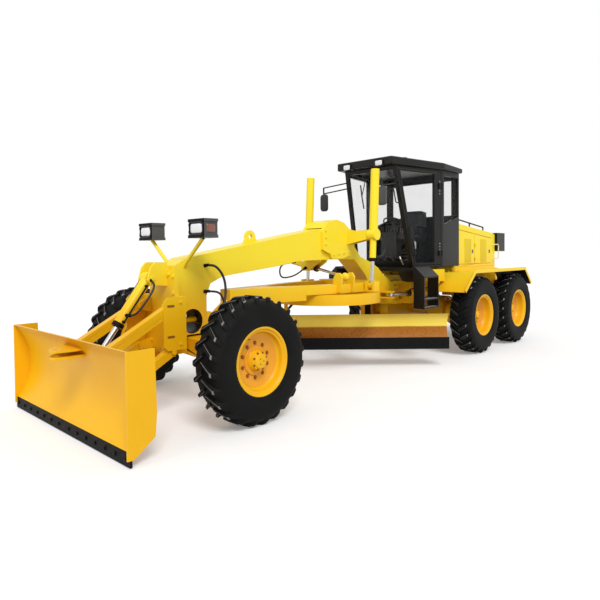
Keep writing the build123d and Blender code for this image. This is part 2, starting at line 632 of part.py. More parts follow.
def articulation_cylinders():
    """One cylinder each side of the hitch."""
    (x0, y0), (x1, y1) = ARTIC_REAR, ARTIC_FRONT
    z = ARTIC_Z
    barrel, bore, rod = cylinder_pair((x0, y0, z), (x1, y1, z), (0, 0, 1),
                                      (48, 48, 26, 25, 45), (0, 780, 700, 430, 50))
    barrel += pin_z(x0, y0, 55, z - 50, z + 50)
    barrel = barrel - bore - pin_z(x0, y0, 25.6, z - 99, z + 99)
    both("artic_barrel", barrel)
    both("artic_rod", rod)


# ---------------------------------------------------------------- rear frame and axle
def rear_frame():
    """Hitch box, two rails, deck and rear counterweight."""
    frame = box((-5050, -4600), (-HITCH_HALF, HITCH_HALF), (TONGUES[0][0] - 80, 1380))
    for low, high in ((TONGUES[0][0] - 80, TONGUES[0][0] - 8), (TONGUES[1][1] + 8, TONGUES[1][1] + 80)):
        frame += box((-4620, HITCH_X), (-HITCH_R, HITCH_R), (low, high)) + pin_z(HITCH_X, 0, HITCH_R, low, high)
    for low, high in TONGUES:
        outer = (low - 40, high + 5) if low < ARTIC_Z else (low - 5, high + 40)
        frame += pin_z(HITCH_X, 0, HITCH_PIN_R, *outer)
    frame += pair(box((-7600, -5000), (300, 420), RAIL_Z))
    for x in (-5350, -7080, -7400):
        frame += box((x - 60, x + 60), (-310, 310), (RAIL_Z[0] + 40, RAIL_Z[1]))
    frame += box((HOOD_X[0] - 50, -5450), (-HOOD_HALF, HOOD_HALF), DECK_Z) - box(
        (-6960, -5740), (-300, 300), (1300, 1600))
    frame += box((-4660, -4600), (-560, 560), (1290, 1370))
    # counterweight and bumper
    weight = ((-7700, -520), (-7700, 520), (-7620, 600), (-7440, 600), (-7440, -600), (-7620, -600))
    frame += flat(weight, 820, 1440)
    # ears for the articulation cylinders
    x, y = ARTIC_REAR
    inner = HITCH_HALF - 10
    for level in (ARTIC_Z - 80, ARTIC_Z + 56):
        frame += pair(flat(((x - 130, inner), (x + 110, inner), (x + 45, y + 50), (x - 45, y + 50)), level, level + 24))
    frame += pair(pin_z(x, y, 25, ARTIC_Z - 90, ARTIC_Z + 90))
    # cab mounts
    frame += pair(box((-5050, -4700), (200, 330), (1370, CAB_FLOOR_Z)))
    # side tanks on a cross beam, each with a slanting stay
    x0, x1 = TANK_X
    y0, y1 = TANK_Y
    frame += box((x0, x0 + 90), (-y1, y1), (1385, 1470))
    side = box((x0, x1), (y0, y1), TANK_Z) + upright(((x1 - 140, TANK_Z[0]), (x1, TANK_Z[0]), (x1 - 20, 1050),
                                                      (x1 - 140, 1050)), y0 + 30, y1)
    frame += pair(side + bar((x0 + 150, y1 - 26, 1310), (x1 - 70, y1 - 26, 1110), 26))
    parts["rear_frame"] = frame


def rear_axle():
    """Final drive housing across the machine and a chain case on each side."""
    x, z = -WHEELBASE, TYRE_RADIUS
    axle = pin_y(x, z, 150, -640, 640) + pin_y(x, z, 240, -170, 170)
    case = Plane.XZ.offset(-800) * (Pos(x, z) * SlotCenterToCenter(TANDEM_SPAN, 400))
    axle += pair(extrude(case, 190))
    for dx in (-TANDEM_SPAN / 2, TANDEM_SPAN / 2):
        axle += pair(pin_y(x + dx, z, 110, 790, REAR_TRACK / 2 - 96))
    axle += pair(box((x - 130, x + 130), (300, 420), (z, RAIL_Z[0])))
    parts["rear_axle"] = axle


def fenders():
    """Bent plate over each pair of rear wheels, with a side skirt."""
    line = ((-4670, 1110), (-5050, 1425), (-7250, 1425), (-7560, 1130))
    shell = upright(ribbon(line, 10), 640, 1270)
    rim_line = ribbon(line, -50)
    skirt = upright(rim_line, 1260, 1270)
    parts["fenders"] = pair(shell + skirt)


def hood():
    """Engine hood: a hollow shell whose sides have two doors each."""
    x0, x1 = HOOD_X
    low = DECK_Z[1]
    rear, front = HOOD_TOP
    outer = upright(((x0, low), (x0, rear), (x1, front), (x1, low)), -HOOD_HALF, HOOD_HALF)
    wall = HOOD_WALL
    inner = upright(((x0 + wall, low - 9), (x0 + wall, rear - wall), (x1 - wall, front - wall),
                     (x1 - wall, low - 9)), wall - HOOD_HALF, HOOD_HALF - wall)
    shell = outer - inner
    # door: name, rear x, front x
    slope = (front - rear) / (x1 - x0)
    for name, a, b in (("front", -6330, -5570), ("rear", -7150, -6360)):
        top_a, top_b = rear + (a - x0) * slope - 110, rear + (b - x0) * slope - 110
        hole = ((a, low + 50), (a, top_a), (b, top_b), (b, low + 50))
        shell -= pair(upright(hole, HOOD_HALF - wall - 9, HOOD_HALF + 9))
        g = DOOR_GAP
        leaf = ((a + g, low + 50 + g), (a + g, top_a - g), (b - g, top_b - g), (b - g, low + 50 + g))
        door = upright(leaf, HOOD_HALF - wall, HOOD_HALF)
        for z in (low + 120, top_a - 170):
            door += box((b - 50, b - 12), (HOOD_HALF, HOOD_HALF + 18), (z, z + 50))
            door += pin_z(b - 2, HOOD_HALF + 18, 12, z, z + 50)
        both("hood_door_" + name, door)
    block = box((-6950, -5750), (-280, 280), (1180, 2000))
    for x in (-6700, -6000):
        block += box((x - 50, x + 50), (-300, 300), (1280, 1370))
    parts["engine_block"] = block
    parts["hood"] = shell + box((x0 - 60, x0), (-HOOD_HALF, HOOD_HALF), (low, rear - 20))
    # black grille and boxes behind the hood, and a rail along each top edge
    guards = box((x0 - 220, x0 - 60), (-540, 540), (low, rear - 60))
    guards += pair(box((x0 - 440, x0 - 60), (470, 690), (1790, 2170)))
    front_post, rear_post = (x1 - 120, front + 75), (x0 + 420, rear + 112)
    for x, z in (front_post, rear_post, ((front_post[0] + rear_post[0]) / 2, (front_post[1] + rear_post[1]) / 2)):
        guards += pair(bar((x, 600, z - 110), (x, 600, z), 13))
    guards += pair(bar((front_post[0], 600, front_post[1]), (rear_post[0], 600, rear_post[1]), 14))
    parts["hood_guards"] = guards - parts["hood"]


def steps():
    """Open step box under each cab door: two side plates and three treads."""
    x0, x1 = STEP_X
    y0, y1 = STEP_Y
    side = ((y0, 880), (y0, 1545), (y0 + 30, 1545), (y1, 1395), (y1, 880))
    step = across(side, x0, x0 + 24) + across(side, x1 - 24, x1)
    step += across(((y0, 1521), (y0, 1545), (y0 + 30, 1545), (y1, 1395), (y1, 1371), (y0 + 24, 1521)), x0, x1)
    for z in (880, 1015):
        step += box((x0, x1), (y0, y1), (z, z + 24))
    step += box((x0, x1), (CAB_PAN_HALF + 20, y0 + 20), (CAB_FLOOR_Z - 24, CAB_FLOOR_Z))
    parts["steps"] = pair(step)


# ---------------------------------------------------------------- cab
def cab_plan(inset):
    """The cab's outline from above, moved in by inset: x, y all round."""
    x, y = CAB_POST
    rear = CAB_REAR_X + inset
    front_x = -3700
    norm = hypot(1, CAB_SLOPE)
    side = y - inset
    knee_x = x - inset * (norm - 1) / CAB_SLOPE
    front_y = side - (front_x - knee_x) * CAB_SLOPE
    half = [(front_x, front_y), (knee_x, side), (rear, side)]
    return half + [(a, -b) for a, b in reversed(half)]


def behind_screen(inset):
    """Everything behind the leaning windscreen's plane, moved in by inset."""
    low, high = CAB_FLOOR_Z - 100, CAB_TOP_Z + 100
    return upright(((-9000, low), (-9000, high), (screen_x(high) - inset, high), (screen_x(low) - inset, low)),
                   -2000, 2000)


def door_plane():
    """Plane of the left door: origin at the post, local x rearwards, local y up."""
    x, y = CAB_POST
    return Plane(origin=(x, y, 0), x_dir=(-1, CAB_SLOPE, 0), z_dir=(CAB_SLOPE, 1, 0))


def on_door(points, out, thick):
    """A plate on the door's plane: points are run, up; it starts at out and goes inwards."""
    face = make_face(Polyline(*points, close=True))
    return extrude(door_plane().offset(out) * face, -thick)


def screen_x(z):
    """Where the leaning windscreen's plane stands at this height."""
    return SCREEN_FOOT_X + (z - CAB_FLOOR_Z - 100) * SCREEN_LEAN


def door_outline(margin, rear=0):
    """The door's four corners, moved in by margin, and at the rear edge by rear as well."""
    low, high = CAB_FLOOR_Z + 35 + margin, CAB_TOP_Z - 40 - margin
    norm = hypot(1, CAB_SLOPE)
    foot, head = ((CAB_POST[0] - screen_x(z)) * norm + 45 + margin for z in (low, high))
    back = DOOR_REAR - margin - rear
    return [(back, low), (back, high), (head, high), (foot, low)]


def cab():
    """Six-sided cab: hollow shell with door openings and windows, roof, doors and glass."""
    wall = CAB_WALL
    outer = flat(cab_plan(0), CAB_FLOOR_Z, CAB_TOP_Z) & behind_screen(0)
    inner = flat(cab_plan(wall), CAB_FLOOR_Z + 50, CAB_TOP_Z + 50) & behind_screen(wall)
    shell = outer - inner
    shell -= pair(on_door(door_outline(0), 50, 200))

    # windows: windscreen, rear window, and a quarter window on each side
    low, high = CAB_FLOOR_Z + 110, CAB_TOP_Z - 60
    screen = across(((-515, low), (515, low), (440, high), (-440, high)), -4400, -3500)
    rear = across(((-620, 2450), (620, 2450), (620, 3080), (-620, 3080)), CAB_REAR_X - 99, CAB_REAR_X + 99)
    px, py = CAB_POST
    quarter = ((px - 25, 3110), (CAB_REAR_X + 45, 3110), (CAB_REAR_X + 45, 2420), (px - 25, 2260))
    quarter_hole = pair(upright(quarter, py - 99, py + 99))
    shell = shell - screen - rear - quarter_hole
    # pan under the floor: it clears the leg of the front frame when the machine bends
    pan = ((-3900, CAB_FLOOR_Z), (-3900, 1490), (-4060, 1310), (-4250, 1275), (-4450, 1275), (-4450, CAB_FLOOR_Z))
    shell += pair(upright(pan, CAB_PAN_HALF - PAN_WALL, CAB_PAN_HALF))
    shell += box((-4450, -4010), (-CAB_PAN_HALF, CAB_PAN_HALF), (1470, CAB_FLOOR_Z))
    mid_out, mid_in = (wall + GLASS) / 2, (wall - GLASS) / 2
    pane_zone = (flat(cab_plan(mid_in), CAB_FLOOR_Z, CAB_TOP_Z) & behind_screen(mid_in)) - (
        flat(cab_plan(mid_out), CAB_FLOOR_Z - 9, CAB_TOP_Z + 9) & behind_screen(mid_out))
    parts["cab_shell"] = shell
    parts["cab_glass"] = (pane_zone & screen) + (pane_zone & rear) + (pane_zone & quarter_hole)

    door = on_door(door_outline(DOOR_GAP), 0, wall)
    window = door_outline(DOOR_GAP + 36, 130)
    door -= on_door(window, 50, 200)
    back = DOOR_REAR - DOOR_GAP
    for z in (1720, 2880):
        leaf = [(back - 60, z), (back - 60, z + 90), (back - 2, z + 90), (back - 2, z)]
        door += on_door(leaf, HINGE_OUT, HINGE_OUT)
        foot = door_plane().from_local_coords(Vector(DOOR_REAR, z, HINGE_OUT))
        door += pin_z(foot.X, foot.Y, HINGE_R, z, z + 90)
    both("cab_door", door)
    both("cab_door_glass", on_door(window, -mid_in, GLASS))

    roof_line = [(-3600, 545), (-4850, 800), (-5530, 800)]
    roof_line += [(a, -b) for a, b in reversed(roof_line)]
    side = ((-3600, CAB_TOP_Z), (-3600, 3330), (-4850, 3318), (-5530, 3285), (-5530, CAB_TOP_Z))
    parts["cab_roof"] = flat(roof_line, CAB_TOP_Z - 99, 3400) & upright(side, -900, 900)

    seat = box((-5150, -4700), (-240, 240), (1950, 2080)) + box((-5250, -5120), (-230, 230), (2000, 2520))
    seat += box((-5100, -4800), (-180, 180), (CAB_FLOOR_Z + 50, 1950))
    console = box((-4500, -4340), (-160, 160), (CAB_FLOOR_Z + 50, 2150)) + bar((-4420, 0, 2140), (-4520, 0, 2300), 25)
    wheel_plane = Plane(origin=(-4530, 0, 2310), z_dir=(-0.55, 0, 1))
    console += wheel_plane * Cylinder(200, 24)

    # mirrors on tube arms, roof lamps and beacon
    fittings = seat + console
    # side, x and y of the mirror, x and y of the arms' foot on the windscreen's post
    for x, y, foot_x, foot_y in ((-3235, 600, -3840, 480), (-3450, -730, -3840, -480)):
        fittings += box((x - 22, x + 22), (y - 82, y + 82), (2515, 2810))
        for z in (2860, 2960):
            fittings += bar((foot_x, foot_y, z + 60), (x, y, z - 40), 11)
        fittings += bar((x, y, 2700), (x, y, 2925), 14)
    fittings += pair(box((-3600, -3570), (250, 390), (3190, 3280)))
    fittings += Pos(-4870, 0, 3380) * Cylinder(55, 140, align=(Align.CENTER, Align.CENTER, Align.MIN))
    fittings += Pos(-4870, 0, 3300) * Cylinder(75, 82, align=(Align.CENTER, Align.CENTER, Align.MIN))
    parts["cab_fittings"] = fittings - parts["cab_shell"] - parts["cab_roof"]


def build():
    wheels()
    front_axle()
    knuckles()
    tie_rod()
    front_frame()
    saddle()
    headlamps()
    dozer_linkage()
    dozer_blade()
    drawbar()
    circle()
    main_blade()
    lift_cylinders()
    centre_shift()
    articulation_cylinders()
    rear_frame()
    rear_axle()
    fenders()
    hood()
    steps()
    cab()


def export():
    """One STEP file for each node, moved so that the origin is under the machine's middle."""
    os.makedirs("parts", exist_ok=True)
    for name, shape in parts.items():
        solids = [Pos(-ORIGIN_X, 0, 0) * solid for solid in shape.solids()]
        node = solids[0] if len(solids) == 1 else Compound(children=solids)
        node.label = name
        export_step(node, "parts/" + name + ".step")


build()
export()
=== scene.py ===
# %% [markdown]
# # Dressing a motor grader
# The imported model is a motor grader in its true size: frames, cylinders, wheels and cab as plain
# solids. This file gives those solids rounded edges and paint, and adds what is too fine for them,
# such as tread, bolts, louvres, hoses and the driver's seat. Each step first says what the piece is
# on the real machine and how it could be made, and then makes it.

# %% Tools and the fixed frame
import json
from math import cos, pi, radians, sin, tau

import bmesh
import bpy
import numpy as np
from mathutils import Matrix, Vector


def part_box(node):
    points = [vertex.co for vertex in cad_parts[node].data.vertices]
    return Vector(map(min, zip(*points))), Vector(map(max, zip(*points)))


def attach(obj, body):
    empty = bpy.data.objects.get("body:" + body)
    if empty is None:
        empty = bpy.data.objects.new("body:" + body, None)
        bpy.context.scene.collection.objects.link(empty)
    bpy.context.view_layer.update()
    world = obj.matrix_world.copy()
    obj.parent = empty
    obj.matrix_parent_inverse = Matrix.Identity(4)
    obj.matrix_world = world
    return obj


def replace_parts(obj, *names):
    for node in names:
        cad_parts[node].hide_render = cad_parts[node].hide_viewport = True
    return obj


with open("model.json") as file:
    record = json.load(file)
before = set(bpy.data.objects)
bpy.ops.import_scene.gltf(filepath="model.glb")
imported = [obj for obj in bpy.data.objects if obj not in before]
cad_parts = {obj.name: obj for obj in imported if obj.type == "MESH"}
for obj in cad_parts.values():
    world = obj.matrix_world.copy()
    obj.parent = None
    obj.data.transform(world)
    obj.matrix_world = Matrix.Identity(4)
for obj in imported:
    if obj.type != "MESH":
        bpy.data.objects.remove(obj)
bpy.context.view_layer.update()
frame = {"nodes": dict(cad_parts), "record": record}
record_slots = {part["node"]: part["material_slot"] for part in frame["record"]["subparts"]}

# %% [markdown]
# ## Camera
# A camera is set once, at the start, so that every later step can be judged in the same view. It
# stands a little above a person's eye height, ahead of the machine and to its left. The lens is a
# mild wide angle, and the small shift frames the machine without turning the camera.

# %% Camera
camera_data = bpy.data.cameras.new("camera")
camera_data.lens = 31.82
camera_data.sensor_width = 36
camera_data.shift_x = 0.0531
camera_data.shift_y = -0.0507
camera_data.clip_end = 300
camera = bpy.data.objects.new("camera", camera_data)
camera.location = (6.7405, 5.2335, 1.7778)
camera.rotation_euler = [radians(angle) for angle in (88.3414, 0.6032, 135.6958)]
bpy.context.scene.collection.objects.link(camera)
bpy.context.scene.camera = camera
bpy.context.scene.view_settings.view_transform = "Standard"
print("camera at", tuple(camera.location))

# %% [markdown]
# ## Writing shader maths as Python
# A material is a tree of nodes, and a tree for even simple maths is long to write. Here one small
# class wraps an output socket, so that an expression such as `1 - mask * 0.3` adds its Math nodes by
# itself.


# %% Socket class
class Sock:
    """An output socket whose + - and * add Math nodes."""

    def __init__(self, recipe, socket):
        self.recipe, self.socket = recipe, socket

    def maths(self, operation, *values):
        return self.recipe.add("ShaderNodeMath", {"operation": operation}, dict(enumerate(values)))

    def __add__(self, other):
        return self.maths("ADD", self, other)

    __radd__ = __add__

    def __sub__(self, other):
        return self.maths("SUBTRACT", self, other)

    def __rsub__(self, other):
        return self.maths("SUBTRACT", other, self)

    def __mul__(self, other):
        return self.maths("MULTIPLY", self, other)

    __rmul__ = __mul__

    def between(self, low, high):
        """0 below low, 1 above high and a smooth ramp between them."""
        settings = {"interpolation_type": "SMOOTHSTEP"}
        return self.recipe.add("ShaderNodeMapRange", settings, {0: self, 1: low, 2: high})


# %% [markdown]
# ## Recipes
# A recipe is a tree of nodes while it is written. Every node is added by one method, which takes its
# type, its settings and its inputs. Colours don't go through Math nodes, which would turn them grey:
# they are mixed by a Mix node. The short methods are what most finishes here are made of.


# %% Recipe class
class Recipe:
    """A material, or the world, under construction."""

    def __init__(self, name, world=None):
        self.material = world or bpy.data.materials.new(name)
        self.material.use_nodes = True
        self.tree = self.material.node_tree
        self.tree.nodes.clear()

    def add(self, kind, settings=None, inputs=None, output=0):
        """Adds a node: its settings first, then the values or links of its sockets."""
        node = self.tree.nodes.new(kind)
        for name, value in (settings or {}).items():
            setattr(node, name, value)
        for name, value in (inputs or {}).items():
            if isinstance(value, Sock):
                self.tree.links.new(value.socket, node.inputs[name])
            else:
                node.inputs[name].default_value = value
        return Sock(self, node.outputs[output])

    def place(self):
        """Position on the object, in metres."""
        return self.add("ShaderNodeTexCoord", output="Object")

    def noise(self, scale, detail, stretch=None):
        """Soft random pattern from 0 to 1, with scale spots to the metre."""
        vector = self.place()
        if stretch:
            vector = self.add("ShaderNodeMapping", None, {"Vector": vector, "Scale": stretch})
        return self.add("ShaderNodeTexNoise", None, {"Vector": vector, "Scale": scale, "Detail": detail})

    def mix(self, factor, first, second):
        """First colour at 0, second colour at 1."""
        return self.add("ShaderNodeMix", {"data_type": "RGBA"}, {0: factor, 6: first, 7: second}, 2)

    def bump(self, height, depth):
        """Normal of a surface raised by height times depth metres."""
        return self.add("ShaderNodeBump", None, {"Height": height, "Distance": depth, "Strength": 1.0})

    def seen_by(self, *rays):
        """1 where a ray of one of the named kinds looks, 0 for light that bounces about."""
        hits = [self.add("ShaderNodeLightPath", output=f"Is {ray} Ray") for ray in rays]
        seen = hits[0]
        for hit in hits[1:]:
            seen = seen.maths("MAXIMUM", seen, hit)
        return seen

    def close(self, shader, kind="ShaderNodeOutputMaterial"):
        """Ends the tree in its output node."""
        out = self.tree.nodes.new(kind)
        self.tree.links.new(shader.socket, out.inputs["Surface"])
        return self.material

    def finish(self, **sockets):
        """Ends the tree in one Principled shader."""
        inputs = {name.replace("_", " "): value for name, value in sockets.items()}
        return self.close(self.add("ShaderNodeBsdfPrincipled", None, inputs))


def rgb(red, green, blue):
    """A colour with full cover."""
    return (red, green, blue, 1.0)


# %% [markdown]
# ## Studio
# The machine stands on a white floor in soft daylight. A broad sun gives its sides their shading and
# the world fills the shadows. The lights are at a plain level, where a colour renders about as it is
# written. The floor is white for the camera and in reflections alone, so it throws no extra light on
# the machine.

# %% World, suns and floor
world = bpy.data.worlds.new("studio")
bpy.context.scene.world = world
sky = Recipe("sky", world)
fill, white = (sky.add("ShaderNodeBackground", None, {"Color": rgb(1, 1, 1), "Strength": strength})
               for strength in (0.5, 1.0))
seen = sky.seen_by("Camera", "Glossy", "Transmission")
sky.close(sky.add("ShaderNodeMixShader", None, {0: seen, 1: fill, 2: white}), "ShaderNodeOutputWorld")

# name, strength, width of the sun in degrees, tilt from straight down, turn
suns = (("key", 1.9, 25, 42, 150), ("side", 0.5, 40, 65, 80))
for name, strength, width, tilt, turn in suns:
    lamp = bpy.data.lights.new(name, "SUN")
    lamp.energy = strength
    lamp.angle = radians(width)
    holder = bpy.data.objects.new(name, lamp)
    holder.rotation_euler = (radians(tilt), 0, radians(turn))
    bpy.context.scene.collection.objects.link(holder)

floor_recipe = Recipe("studio_floor")
matt = floor_recipe.add("ShaderNodeBsdfDiffuse", None, {"Color": rgb(0.86, 0.86, 0.86)})
glow = floor_recipe.add("ShaderNodeEmission", None, {"Color": rgb(1, 1, 1), "Strength": 0.2})
lit = floor_recipe.add("ShaderNodeAddShader", None, {0: matt, 1: glow})
seen = floor_recipe.seen_by("Camera", "Glossy")
white_floor = floor_recipe.close(floor_recipe.add("ShaderNodeMixShader", None, {0: seen, 1: matt, 2: lit}))

reach = 90.0
floor_mesh = bpy.data.meshes.new("floor")
corners = [(-reach, -reach, 0), (reach, -reach, 0), (reach, reach, 0), (-reach, reach, 0)]
floor_mesh.from_pydata(corners, [], [(0, 1, 2, 3)])
floor = bpy.data.objects.new("floor", floor_mesh)
floor_mesh.materials.append(white_floor)
bpy.context.scene.collection.objects.link(floor)
print("suns", [row[0] for row in suns])

# %% [markdown]
# ## Finishes
# Machine enamel is never one flat colour: it is a little richer in one place than another, fine dust
# dulls it, and sprayed paint dries with a faint orange-peel ripple. Each finish below is a short
# expression of noise that feeds colour, roughness and bump, and its constants sit on the shader.


# %% Paints
# heights in metres: between which the yellow turns from orange to lemon, painted light as if lit higher up,
# and of the top of the painted shade on a blade
PAINTED_LIGHT_HEIGHTS, PAINTED_SHADE_LINE = (0.95, 1.8), (0.625, 0.65)


def enamel(name, colour, faded, roughness, coat, painted_shade_below=None, painted_light_above=None, painted_low_shade=None, shine=0.3):
    """Sprayed enamel: slow colour drift, dusty patches that are rougher, orange-peel ripple.

    The colour for high parts is a painted light, lemon as if lit; the colour for downward faces is a
    painted shade; and the last colour is a painted shade on the low half of a blade.
    """
    recipe = Recipe(name)
    drift = recipe.noise(1.7, 4.0).between(0.35, 0.75)
    grit = recipe.noise(38.0, 5.0).between(0.45, 0.8)
    colour_out = recipe.mix(drift * 0.55 + grit * 0.2, colour, faded)
    height = recipe.add("ShaderNodeSeparateXYZ", None, {"Vector": recipe.place()}, "Z")
    # painted light: high parts turn lemon yellow as if lit, low parts stay orange as if in shade
    if painted_light_above:
        colour_out = recipe.mix(height.between(*PAINTED_LIGHT_HEIGHTS) * 0.9, colour_out, painted_light_above)
    # painted shade: faces that point down turn dark orange-brown, as if in shade
    if painted_shade_below:
        normal = recipe.add("ShaderNodeNewGeometry", output="Normal")
        facing = recipe.add("ShaderNodeSeparateXYZ", None, {"Vector": normal}, "Z")
        under = (0 - facing).between(0.35, 0.95)
        colour_out = recipe.mix(under * (0.5 + drift * 0.35), colour_out, painted_shade_below)
    # painted shade: below the line the blade darkens to red-brown, with streaks
    if painted_low_shade:
        streak = recipe.noise(5.0, 4.0, (0.5, 0.5, 3.0))
        low = 1 - (height + streak * 0.02).between(*PAINTED_SHADE_LINE)
        colour_out = recipe.mix(low * (0.85 + grit * 0.12), colour_out, painted_low_shade)
    peel = recipe.noise(420.0, 2.0)
    return recipe.finish(
        Base_Color=colour_out,
        Roughness=roughness + drift * 0.06 + grit * 0.1,
        Coat_Weight=coat,
        Coat_Roughness=0.12,
        Specular_IOR_Level=shine,
        Normal=recipe.bump(peel, 0.0004),
    )


# painted light and shade: lemon for lit high parts, dark orange-brown for shaded downward faces
orange, lemon, painted_underside_shade = rgb(0.87, 0.47, 0.006), rgb(0.97, 0.79, 0.035), rgb(0.4, 0.12, 0.008)
yellow = enamel("yellow_enamel", orange, rgb(0.82, 0.41, 0.006), 0.36, 0.06, painted_underside_shade, lemon, shine=0.18)
# the blade paint is a paler copy of the yellow: painted light for the moldboard's bright upper band, with
# painted shade below
blade_yellow = enamel("blade_yellow", rgb(0.98, 0.76, 0.12), rgb(0.96, 0.66, 0.06), 0.4, 0.02, painted_underside_shade,
                      None, rgb(0.3, 0.05, 0.004), 0.12)
soot, coal = rgb(0.004, 0.0038, 0.0036), rgb(0.003, 0.003, 0.0032)
black = enamel("black_enamel", soot, rgb(0.008, 0.0075, 0.007), 0.34, 0.05, shine=0.22)
edge_black = enamel("edge_black", coal, rgb(0.006, 0.0057, 0.0055), 0.55, 0.0, shine=0.12)
grey_iron = enamel("grey_iron", rgb(0.12, 0.12, 0.125), rgb(0.2, 0.19, 0.18), 0.5, 0.0)
# painted shade: darker orange for the rims' dishes, where shade falls
rim_dish_shade = enamel("rim_dish_shade", rgb(0.78, 0.35, 0.01), rgb(0.7, 0.28, 0.01), 0.4, 0.2)
bolt_brown = enamel("bolt_brown", rgb(0.3, 0.1, 0.012), rgb(0.16, 0.06, 0.015), 0.5, 0.0)
cream = enamel("cream_enamel", rgb(0.85, 0.8, 0.6), rgb(0.75, 0.7, 0.52), 0.4, 0.1)
lamp_grey = enamel("lamp_grey", rgb(0.06, 0.062, 0.066), rgb(0.09, 0.09, 0.092), 0.4, 0.15)
paints = (yellow, blade_yellow, black, edge_black, grey_iron, rim_dish_shade, bolt_brown, cream, lamp_grey)
print("paints", [paint.name for paint in paints])

# %% [markdown]
# ## Rubber, plastic and metal
# What isn't painted has an even grain instead: moulded rubber and plastic are finely pitted, vinyl is
# embossed, and plated steel is faintly uneven. One function with a scale and a depth for the grain
# covers them all.


# %% Rubber, plastic and metal
def grain(name, colour, faded, roughness, scale, depth, metallic, shine):
    """Matt material with an even grain of scale spots to the metre."""
    recipe = Recipe(name)
    drift = recipe.noise(5.0, 4.0).between(0.3, 0.8)
    fine = recipe.noise(scale, 3.0)
    return recipe.finish(
        Base_Color=recipe.mix(drift, colour, faded),
        Roughness=roughness + drift * 0.08,
        Metallic=metallic,
        Specular_IOR_Level=shine,
        Normal=recipe.bump(fine, depth),
    )


# name, colour, faded colour, roughness, spots to the metre, depth, metal, shine
grains = (
    ("tyre_rubber", (0.003, 0.003, 0.003), (0.007, 0.0065, 0.006), 0.62, 160, 0.001, 0.0, 0.12),
    # pale grey for the painted highlights on the lugs' edges
    ("lug_highlight_rubber", (0.26, 0.255, 0.25), (0.1, 0.1, 0.095), 0.7, 160, 0.001, 0.0, 0.25),
    ("black_plastic", (0.012, 0.012, 0.013), (0.02, 0.02, 0.021), 0.48, 700, 0.0003, 0.0, 0.4),
    ("hose_rubber", (0.006, 0.006, 0.0065), (0.012, 0.012, 0.012), 0.45, 900, 0.0002, 0.0, 0.4),
    ("seat_vinyl", (0.014, 0.014, 0.015), (0.024, 0.024, 0.026), 0.55, 1400, 0.0004, 0.0, 0.5),
    ("zinc_steel", (0.45, 0.44, 0.42), (0.33, 0.32, 0.3), 0.35, 500, 0.0002, 1.0, 0.5),
    ("chrome_rod", (0.62, 0.61, 0.6), (0.52, 0.5, 0.48), 0.16, 900, 0.00004, 1.0, 0.5),
    ("mirror_glass", (0.5, 0.52, 0.54), (0.44, 0.46, 0.48), 0.08, 20, 0.00001, 1.0, 0.5),
)
rubber, lug_edge_highlight, plastic, hose_rubber, seat_cloth, steel, chrome, mirror_glass = (
    grain(name, rgb(*colour), rgb(*faded), *rest) for name, colour, faded, *rest in grains)
print("grains", [row[0] for row in grains])

# %% [markdown]
# ## Glass and lenses
# Cab glass is nearly clear and a little smeared, so its cover is low and varies with a soft noise. A
# lens is moulded plastic, ribbed and tinted right through. It gathers daylight, which is made here by
# a faint glow of its own colour.

# %% Glass and lenses
window = Recipe("cab_window")
smear = window.noise(3.0, 5.0).between(0.4, 0.9)
glass = window.finish(
    Base_Color=rgb(0.06, 0.07, 0.075), Roughness=0.04 + smear * 0.05, Alpha=0.06 + smear * 0.03,
    IOR=1.5, Specular_IOR_Level=0.25,
)


def lens(name, colour, glow):
    """Moulded lens: clear coat over a ribbed, tinted body."""
    recipe = Recipe(name)
    ribs = recipe.add("ShaderNodeTexWave", {"bands_direction": "Y"},
                      {"Vector": recipe.place(), "Scale": 60.0, "Distortion": 0.4})
    haze = recipe.noise(14.0, 3.0)
    return recipe.finish(
        Base_Color=recipe.mix(haze * 0.4, colour, rgb(*(0.6 * part for part in colour[:3]))),
        Roughness=0.12 + haze * 0.12, Coat_Weight=1.0, Coat_Roughness=0.03,
        Emission_Color=colour, Emission_Strength=glow, Normal=recipe.bump(ribs, 0.0006),
    )


clear_lens = lens("clear_lens", rgb(0.8, 0.82, 0.84), 0.12)
amber_lens = lens("amber_lens", rgb(0.6, 0.16, 0.02), 0.05)
smoked_lens = lens("smoked_lens", rgb(0.2, 0.045, 0.012), 0.02)
red_lens = lens("red_lens", rgb(0.5, 0.01, 0.008), 0.03)
# the solids' finish in each slot
finishes = {
    "yellow_paint": yellow, "black_paint": black, "black_plastic": plastic, "tyre": rubber,
    "glass": glass, "chrome": chrome, "edge_steel": edge_black, "engine": grey_iron,
}
# the finer pieces' finishes in each slot
others = {
    "yellow_paint": (bolt_brown, cream), "black_plastic": (hose_rubber, seat_cloth, lamp_grey),
    "glass": (clear_lens, amber_lens, smoked_lens, red_lens), "chrome": (steel, mirror_glass),
}
slot_of = {material.name: slot for slot, material in finishes.items()}
slot_of.update({material.name: slot for slot, materials in others.items() for material in materials})
print("finishes", sorted(slot_of))

# %% [markdown]
# ## Softened edges on the CAD solids
# No real edge is perfectly sharp: plate is cut, ground and painted, and its edges catch the light.
# A Bevel modifier rounds the edges where faces meet at a clear angle, and weighted normals keep the
# wide faces flat beside them.


# %% Show and soften a piece
def show(data, name, body, material):
    """Links a finished mesh or curve as a piece that rides on a body."""
    data.materials.append(material)
    piece = bpy.data.objects.new(name, data)
    bpy.context.scene.collection.objects.link(piece)
    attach(piece, body)
    return piece


# the angle between faces above which their edge is sharp
SHARP = radians(38)


